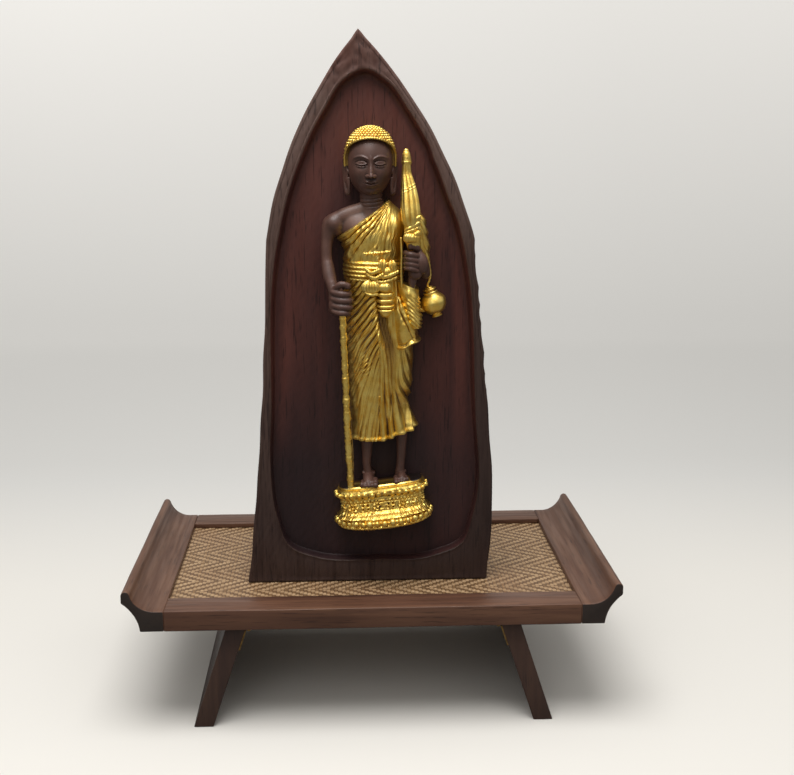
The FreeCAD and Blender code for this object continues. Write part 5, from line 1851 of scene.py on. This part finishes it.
def shin(side):
    x_foot, x_knee, top = FEET[side]
    sole = deck_level(x_foot)
    return limb([(x_foot - 0.4, -9.6, sole + 2.5, 4.6), (x_foot - 0.6, -10.2, sole + 9.0, 3.5),
                 (x_knee - 0.4, -11.0, sole + 17.0, 3.5), (x_knee, -12.0, top - 8, 4.2),
                 (x_knee, -12.5, top + 2, 5.2), (x_knee, -12.5, top + 12, 5.8)], 48, 70,
                lambda u, share, centre: 0.45 * np.cos(2 * math.pi * (u - 0.25)) * share)


for side in ("right", "left"):
    lacquered("bare_foot_" + side, cut_at_floor(foot(side)), ["foot_" + side], (10, 0.45))
    lacquered("bare_shin_" + side, cut_at_floor(shin(side)), ["shin_" + side], (10, 0.45))

# %% [markdown]
# ## What the monk carries
#
# A staff, a folded umbrella over the shoulder, and a water pot that hangs from the wrist. The umbrella
# is cloth furled round its stick, so long folds run down it, and ties cross them. The pot is turned
# work: rings and an egg about one axis, then leaned as a whole.

# %% The staff
def staff_wobble(u, share, centre):
    """Cut marks of the knife along the staff, and a low knot here and there."""
    grain = 0.22 * np.sin(2 * math.pi * (u + 2.2 * share)) + 0.3 * wander(centre[:, 2], 8 * u, 7, 81)
    cuts = 0.22 * wander(centre[:, 2], 14 * u, 2.6, 82)
    knots = 0.3 * hump((centre[:, 2] * 0.031) % 1.0, 0.5, 0.12)
    return grain + cuts + knots


staff = limb([(-17.4, -19.4, 86.5, 3.0), (-18.0, -20.4, 98.0, 2.7), (-19.3, -22.0, 130.0, 2.8),
              (-20.3, -23.4, 158.0, 2.8), (-21.4, -24.6, 184.0, 2.7), (-22.4, -26.4, 220.0, 2.7),
              (-22.6, -27.0, 236.0, 2.6), (-22.8, -27.2, 246.0, 2.4)], 36, 420, staff_wobble)
gilded("carved_staff", staff, ["staff"], (14, 0.4))

# %% The furled umbrella
def furled(u, share, centre):
    """Long straight folds, and two thin ties that cross them at a slant."""
    turn = u * 7 + 0.12 * share
    depth = np.interp(share, (0, 0.15, 0.6, 0.85, 1), (0.4, 1, 1, 0.4, 0.25))
    folds = 1.3 * (pleats(turn, 1.7) - 0.5) * depth
    fine = 0.18 * pleats(u * 21 + 0.3 * share, 1.3)
    ties = 0
    for level, slant in ((0.62, 0.05), (0.66, 0.05)):
        line = share - level - slant * np.cos(2 * math.pi * (u - 0.1))
        ties = ties + 0.3 * hump(line, 0, 0.006)
    return folds + fine + ties


canopy = limb([(32.2, -31.0, 302.0, 5.0), (32.0, -30.6, 306.0, 6.6), (31.7, -29.8, 311.0, 7.1),
               (31.3, -28.6, 317.0, 7.0), (30.8, -27.0, 324.0, 6.4), (30.1, -25.2, 331.0, 5.5),
               (29.2, -23.8, 337.5, 4.6), (28.5, -22.8, 343.0, 3.6), (28.4, -22.5, 351.0, 3.0)],
              190, 300, furled)
gilded("furled_canopy", canopy, ["umbrella_canopy"], (14, 0.8))

finial = limb([(28.4, -22.5, 349.4, 3.1), (28.4, -22.4, 350.6, 3.9), (28.4, -22.3, 351.9, 4.1),
               (28.4, -22.3, 353.2, 3.7), (28.3, -22.2, 356.0, 3.4), (28.2, -22.0, 358.6, 2.9),
               (28.1, -21.9, 360.2, 2.2)], 48, 90,
              lambda u, share, centre: 0.16 * np.cos(2 * math.pi * 9 * u) * fade(share, 0.5, 0.3))
gilded("canopy_finial", finial, ["umbrella_finial"], (8, 0.35))

tie_cloth = [
    puff((32.0, -33.6, 293.6), (6.4, 4.4, 4.2), 15, 0.12, 6),
    puff((35.6, -34.4, 296.6), (3.6, 3.0, 2.6), 8, 0.12, -30),
    puff((28.4, -32.8, 292.6), (3.2, 3.4, 3.0), 8, 0.12, 30),
    puff((32.6, -34.0, 302.6), (6.6, 2.6, 2.0), 7, 0.16, -30),
    puff((33.4, -33.8, 307.6), (6.6, 2.4, 1.7), 7, 0.16, -28),
    puff((31.8, -33.8, 299.4), (6.0, 2.6, 1.7), 7, 0.16, -22),
    puff((37.6, -30.0, 299.0), (2.4, 3.0, 7.0), 9, 0.16, -12),
    limb([(33.4, -28.4, 287.5, 4.8), (33.0, -28.6, 293.0, 6.2), (32.6, -29.4, 304.0, 6.0)], 72, 40,
         lambda u, share, centre: 0.5 * pleats(u * 13, 1.3)),
]
gilded("canopy_tie", joined(tie_cloth), ["umbrella_tie"], (10, 0.4))

handle = limb([(32.8, -26.2, 252.6, 2.0), (32.9, -26.2, 257.0, 3.1), (33.1, -26.2, 260.6, 3.5),
               (33.2, -26.2, 264.2, 2.7), (33.4, -26.2, 272.0, 2.5), (33.8, -26.2, 288.0, 2.6)], 40, 80,
              lambda u, share, centre: 0.2 * hump(centre[:, 2], 264.8, 0.8))
lacquered("umbrella_stick", handle, ["umbrella_handle"], (8, 0.4))

# %% The water pot
POT_MIDDLE = Vector((51.2, -10.2, 238.6))
POT_LEAN = math.radians(-17)


def hung(form):
    """From the pot's own axis to its place beside the monk."""
    turn = Matrix.Translation(POT_MIDDLE) @ Matrix.Rotation(POT_LEAN, 4, "Y")
    bmesh.ops.transform(form, matrix=turn, verts=form.verts)
    return cut_at_floor(form)


def turned(profile, columns=72, rows=90, swell=None):
    """Turned work through (radius, height)."""
    table = np.array(profile, float)
    knots = np.concatenate([[0], np.cumsum(np.hypot(*np.diff(table, axis=0).T))])

    def place(u, v):
        radius = np.clip(np.interp(v * knots[-1], knots, table[:, 0]), 0, None)
        height = np.interp(v * knots[-1], knots, table[:, 1])
        if swell is not None:
            radius = radius + swell(u, height) * np.clip(radius, 0, 1)
        return radius * np.cos(2 * math.pi * u), radius * np.sin(2 * math.pi * u), height

    return surface(columns, rows, place)


round_profile = [(10.4 * math.sin(turn), -9.6 * math.cos(turn)) for turn in np.linspace(0.0, math.pi, 40)]
foot_ring = [(0, -11.2), (4.2, -11.2), (4.6, -10.8), (4.6, -10.2), (3.6, -9.4), (3.6, -7.0), (0, -7.0)]
pot = joined([turned(round_profile, 96, 90, lambda u, height: 0.12 * wander(u * 40, height, 6, 91)),
              turned(foot_ring)])
gilded("round_pot", hung(pot), ["water_pot"], (10, 0.4))

neck_profile = [(0, 6.0), (5.0, 6.0), (5.9, 8.6), (6.0, 9.3), (5.6, 9.8), (3.8, 10.1), (3.6, 10.9),
                (5.3, 11.3), (5.6, 11.9), (5.2, 12.5), (3.6, 12.8), (3.2, 13.6), (1.9, 14.4), (0, 14.8)]
gilded("pot_mouth_and_lid", hung(turned(neck_profile, 72, 120)), ["pot_neck"], (8, 0.35))

spout = limb([(-7.0, 0, -2.5, 3.0), (-10.4, 0, -2.6, 2.0), (-13.0, 0, 0.4, 1.7), (-14.6, 0, 4.6, 2.2)],
             32, 50, steady=(0, 1, 0))
gilded("pot_spout_flared", hung(spout), ["pot_spout"], (8, 0.35))

strap_forms = [
    limb([(47.4, -11.6, 250.6, 0.95), (46.0, -13.8, 253.6, 0.8), (47.4, -15.6, 258.0, 0.8),
          (48.0, -17.0, 263.0, 0.85), (47.0, -18.6, 270.0, 0.9), (46.0, -19.6, 276.0, 0.9)], 20, 90,
         lambda u, share, centre: 0.12 * np.sin(2 * math.pi * (u + 9 * share))),
    limb([(23.6, -31.0, 293.0, 0.85), (24.0, -32.2, 281.0, 0.8), (23.8, -32.4, 268.0, 0.8),
          (24.0, -31.8, 255.0, 0.85)], 16, 60),
]
gilded("pot_strap_rod", joined(strap_forms), ["pot_strap"], (8, 0.3))

# %% [markdown]
# ## Finishes of the frame's own nodes
#
# The hinges, their pins and screws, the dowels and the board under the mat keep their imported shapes.
# They only need the right surface, so each node's object gets a finish in its first slot.

# %% Metal and hidden wood
FINISHES = {
    brass: ("hinge_leaves_frame", "hinge_leaves_left", "hinge_leaves_right", "hinge_pins"),
    steel: ("hinge_screws_frame", "hinge_screws_left", "hinge_screws_right"),
    peg_wood: ("frame_dowels", "figure_dowels"),
    board_wood: ("backing_panel",),
}
for finish, nodes in FINISHES.items():
    for node in nodes:
        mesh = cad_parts[node].data
        mesh.materials.clear()
        mesh.materials.append(finish)
print("frame nodes with a finish:", sum(len(nodes) for nodes in FINISHES.values()))

# %% [markdown]
# ## Floor, light and world
#
# A studio sweep is one sheet: floor, a large curve, and a wall, so no line shows behind the object.
# The profile starts as one point that is spun and pushed. The light is a broad soft lamp overhead, as
# under a window in a roof, and a weak one from the front left. The camera sees the world as pale grey.

# %% The sweep
SWEEP_RADIUS = 1.2
SWEEP_BACK = 1.6
SWEEP_FRONT = -6.0
SWEEP_TOP = 4.0
SWEEP_HALF = 6.0


def sweep_form():
    sheet = bmesh.new()
    start = sheet.verts.new((-SWEEP_HALF, SWEEP_FRONT, 0))
    floor_end = sheet.verts.new((-SWEEP_HALF, SWEEP_BACK, 0))
    sheet.edges.new((start, floor_end))
    made = bmesh.ops.spin(sheet, geom=[floor_end], cent=(-SWEEP_HALF, SWEEP_BACK, SWEEP_RADIUS),
                          axis=(1, 0, 0), angle=math.radians(90), steps=24)
    curve_end = newest(made, "geom_last")[0]
    top = sheet.verts.new((-SWEEP_HALF, SWEEP_BACK + SWEEP_RADIUS, SWEEP_TOP))
    sheet.edges.new((curve_end, top))
    made = bmesh.ops.extrude_edge_only(sheet, edges=sheet.edges[:])
    bmesh.ops.translate(sheet, verts=newest(made), vec=(2 * SWEEP_HALF, 0, 0))
    bmesh.ops.recalc_face_normals(sheet, faces=sheet.faces)
    return sheet


def pale_paper():
    """White paper for the camera and in reflections, grey for every other ray, with painted light that
    makes it brighter high up, towards the back and to the left.
    """
    paper = Finish("pale_paper")
    seen = paper.node("ShaderNodeLightPath", {}, {}, "Is Camera Ray")
    mirrored = paper.node("ShaderNodeLightPath", {}, {}, "Is Glossy Ray")
    seen = (seen + mirrored * paper.step(paper.axis("Y"), 0.0, 0.5, 0.1, 0.7)).clamp()
    # painted light: the paper's colour a little paler near the front than at the back
    far = paper.step(paper.axis("Y"), 0.2, 0.6)
    near_and_far = paper.mix(far, tone(229, 225, 218), tone(222, 220, 216))
    body = paper.mix(seen, tone(120, 118, 115), near_and_far)
    # painted light on the backdrop: camera-only emission that grows with height and depth and is stronger
    # to the left
    side = paper.step(paper.axis("X"), -0.8, 0.8, 1.0, 0.84)
    rise = paper.step(paper.axis("Z"), 0.03, 0.85, 0.0, 0.36)
    rise = rise + paper.step(paper.axis("Y"), 0.7, 1.7, 0.0, 0.17)
    painted_light = seen * side * rise
    light = paper.mix(painted_light, tone(0, 0, 0), (1.0, 0.975, 0.93, 1.0))
    return paper.shader(Base_Color=body, Roughness=0.8, Specular_IOR_Level=0.2, Emission_Color=light,
                        Emission_Strength=1.0)


sweep_mesh = bpy.data.meshes.new("sweep")
sheet = sweep_form()
sheet.to_mesh(sweep_mesh)
sheet.free()
sweep_mesh.polygons.foreach_set("use_smooth", [True] * len(sweep_mesh.polygons))
sweep_mesh.materials.append(pale_paper())
sweep = bpy.data.objects.new("sweep", sweep_mesh)
scene.collection.objects.link(sweep)
print("sweep has", len(sweep_mesh.polygons), "faces")

# %% Lamps and world
def lamp(name, place, aim, size, watts):
    """A square soft lamp that points at aim."""
    data = bpy.data.lights.new(name, "AREA")
    data.shape = "SQUARE"
    data.size = size
    data.energy = watts
    light = bpy.data.objects.new(name, data)
    light.location = place
    light.rotation_euler = (Vector(aim) - Vector(place)).to_track_quat("-Z", "Y").to_euler()
    scene.collection.objects.link(light)


MIDDLE = (0, 0, 0.25)
lamp("overhead", (-0.12, -0.42, 1.6), MIDDLE, 1.0, 20)
lamp("front", (-0.55, -1.8, 1.25), MIDDLE, 0.8, 1.8)

world = bpy.data.worlds.new("studio")
scene.world = world
world.use_nodes = True
world.node_tree.nodes.clear()


def studio_world():
    """Pale grey for the camera; for every other ray, bright above and dim at the sides."""
    room = Finish.__new__(Finish)
    room.tree = world.node_tree
    out = room.tree.nodes.new("ShaderNodeOutputWorld")
    way = room.node("ShaderNodeTexCoord", {}, {}, "Generated")
    height = room.node("ShaderNodeSeparateXYZ", {}, {0: way}, 2)
    sky = room.mix(room.step(height, 0.06, 0.55), tone(108, 105, 102), tone(250, 250, 248))
    seen = room.node("ShaderNodeLightPath", {}, {}, "Is Camera Ray")
    colour = room.mix(seen, sky, tone(204, 205, 207))
    strength = 0.75 + seen * 0.25
    shine = room.node("ShaderNodeBackground", {}, {"Color": colour, "Strength": strength})
    room.tree.links.new(shine.socket, out.inputs["Surface"])


studio_world()
scene.view_settings.view_transform = "Standard"
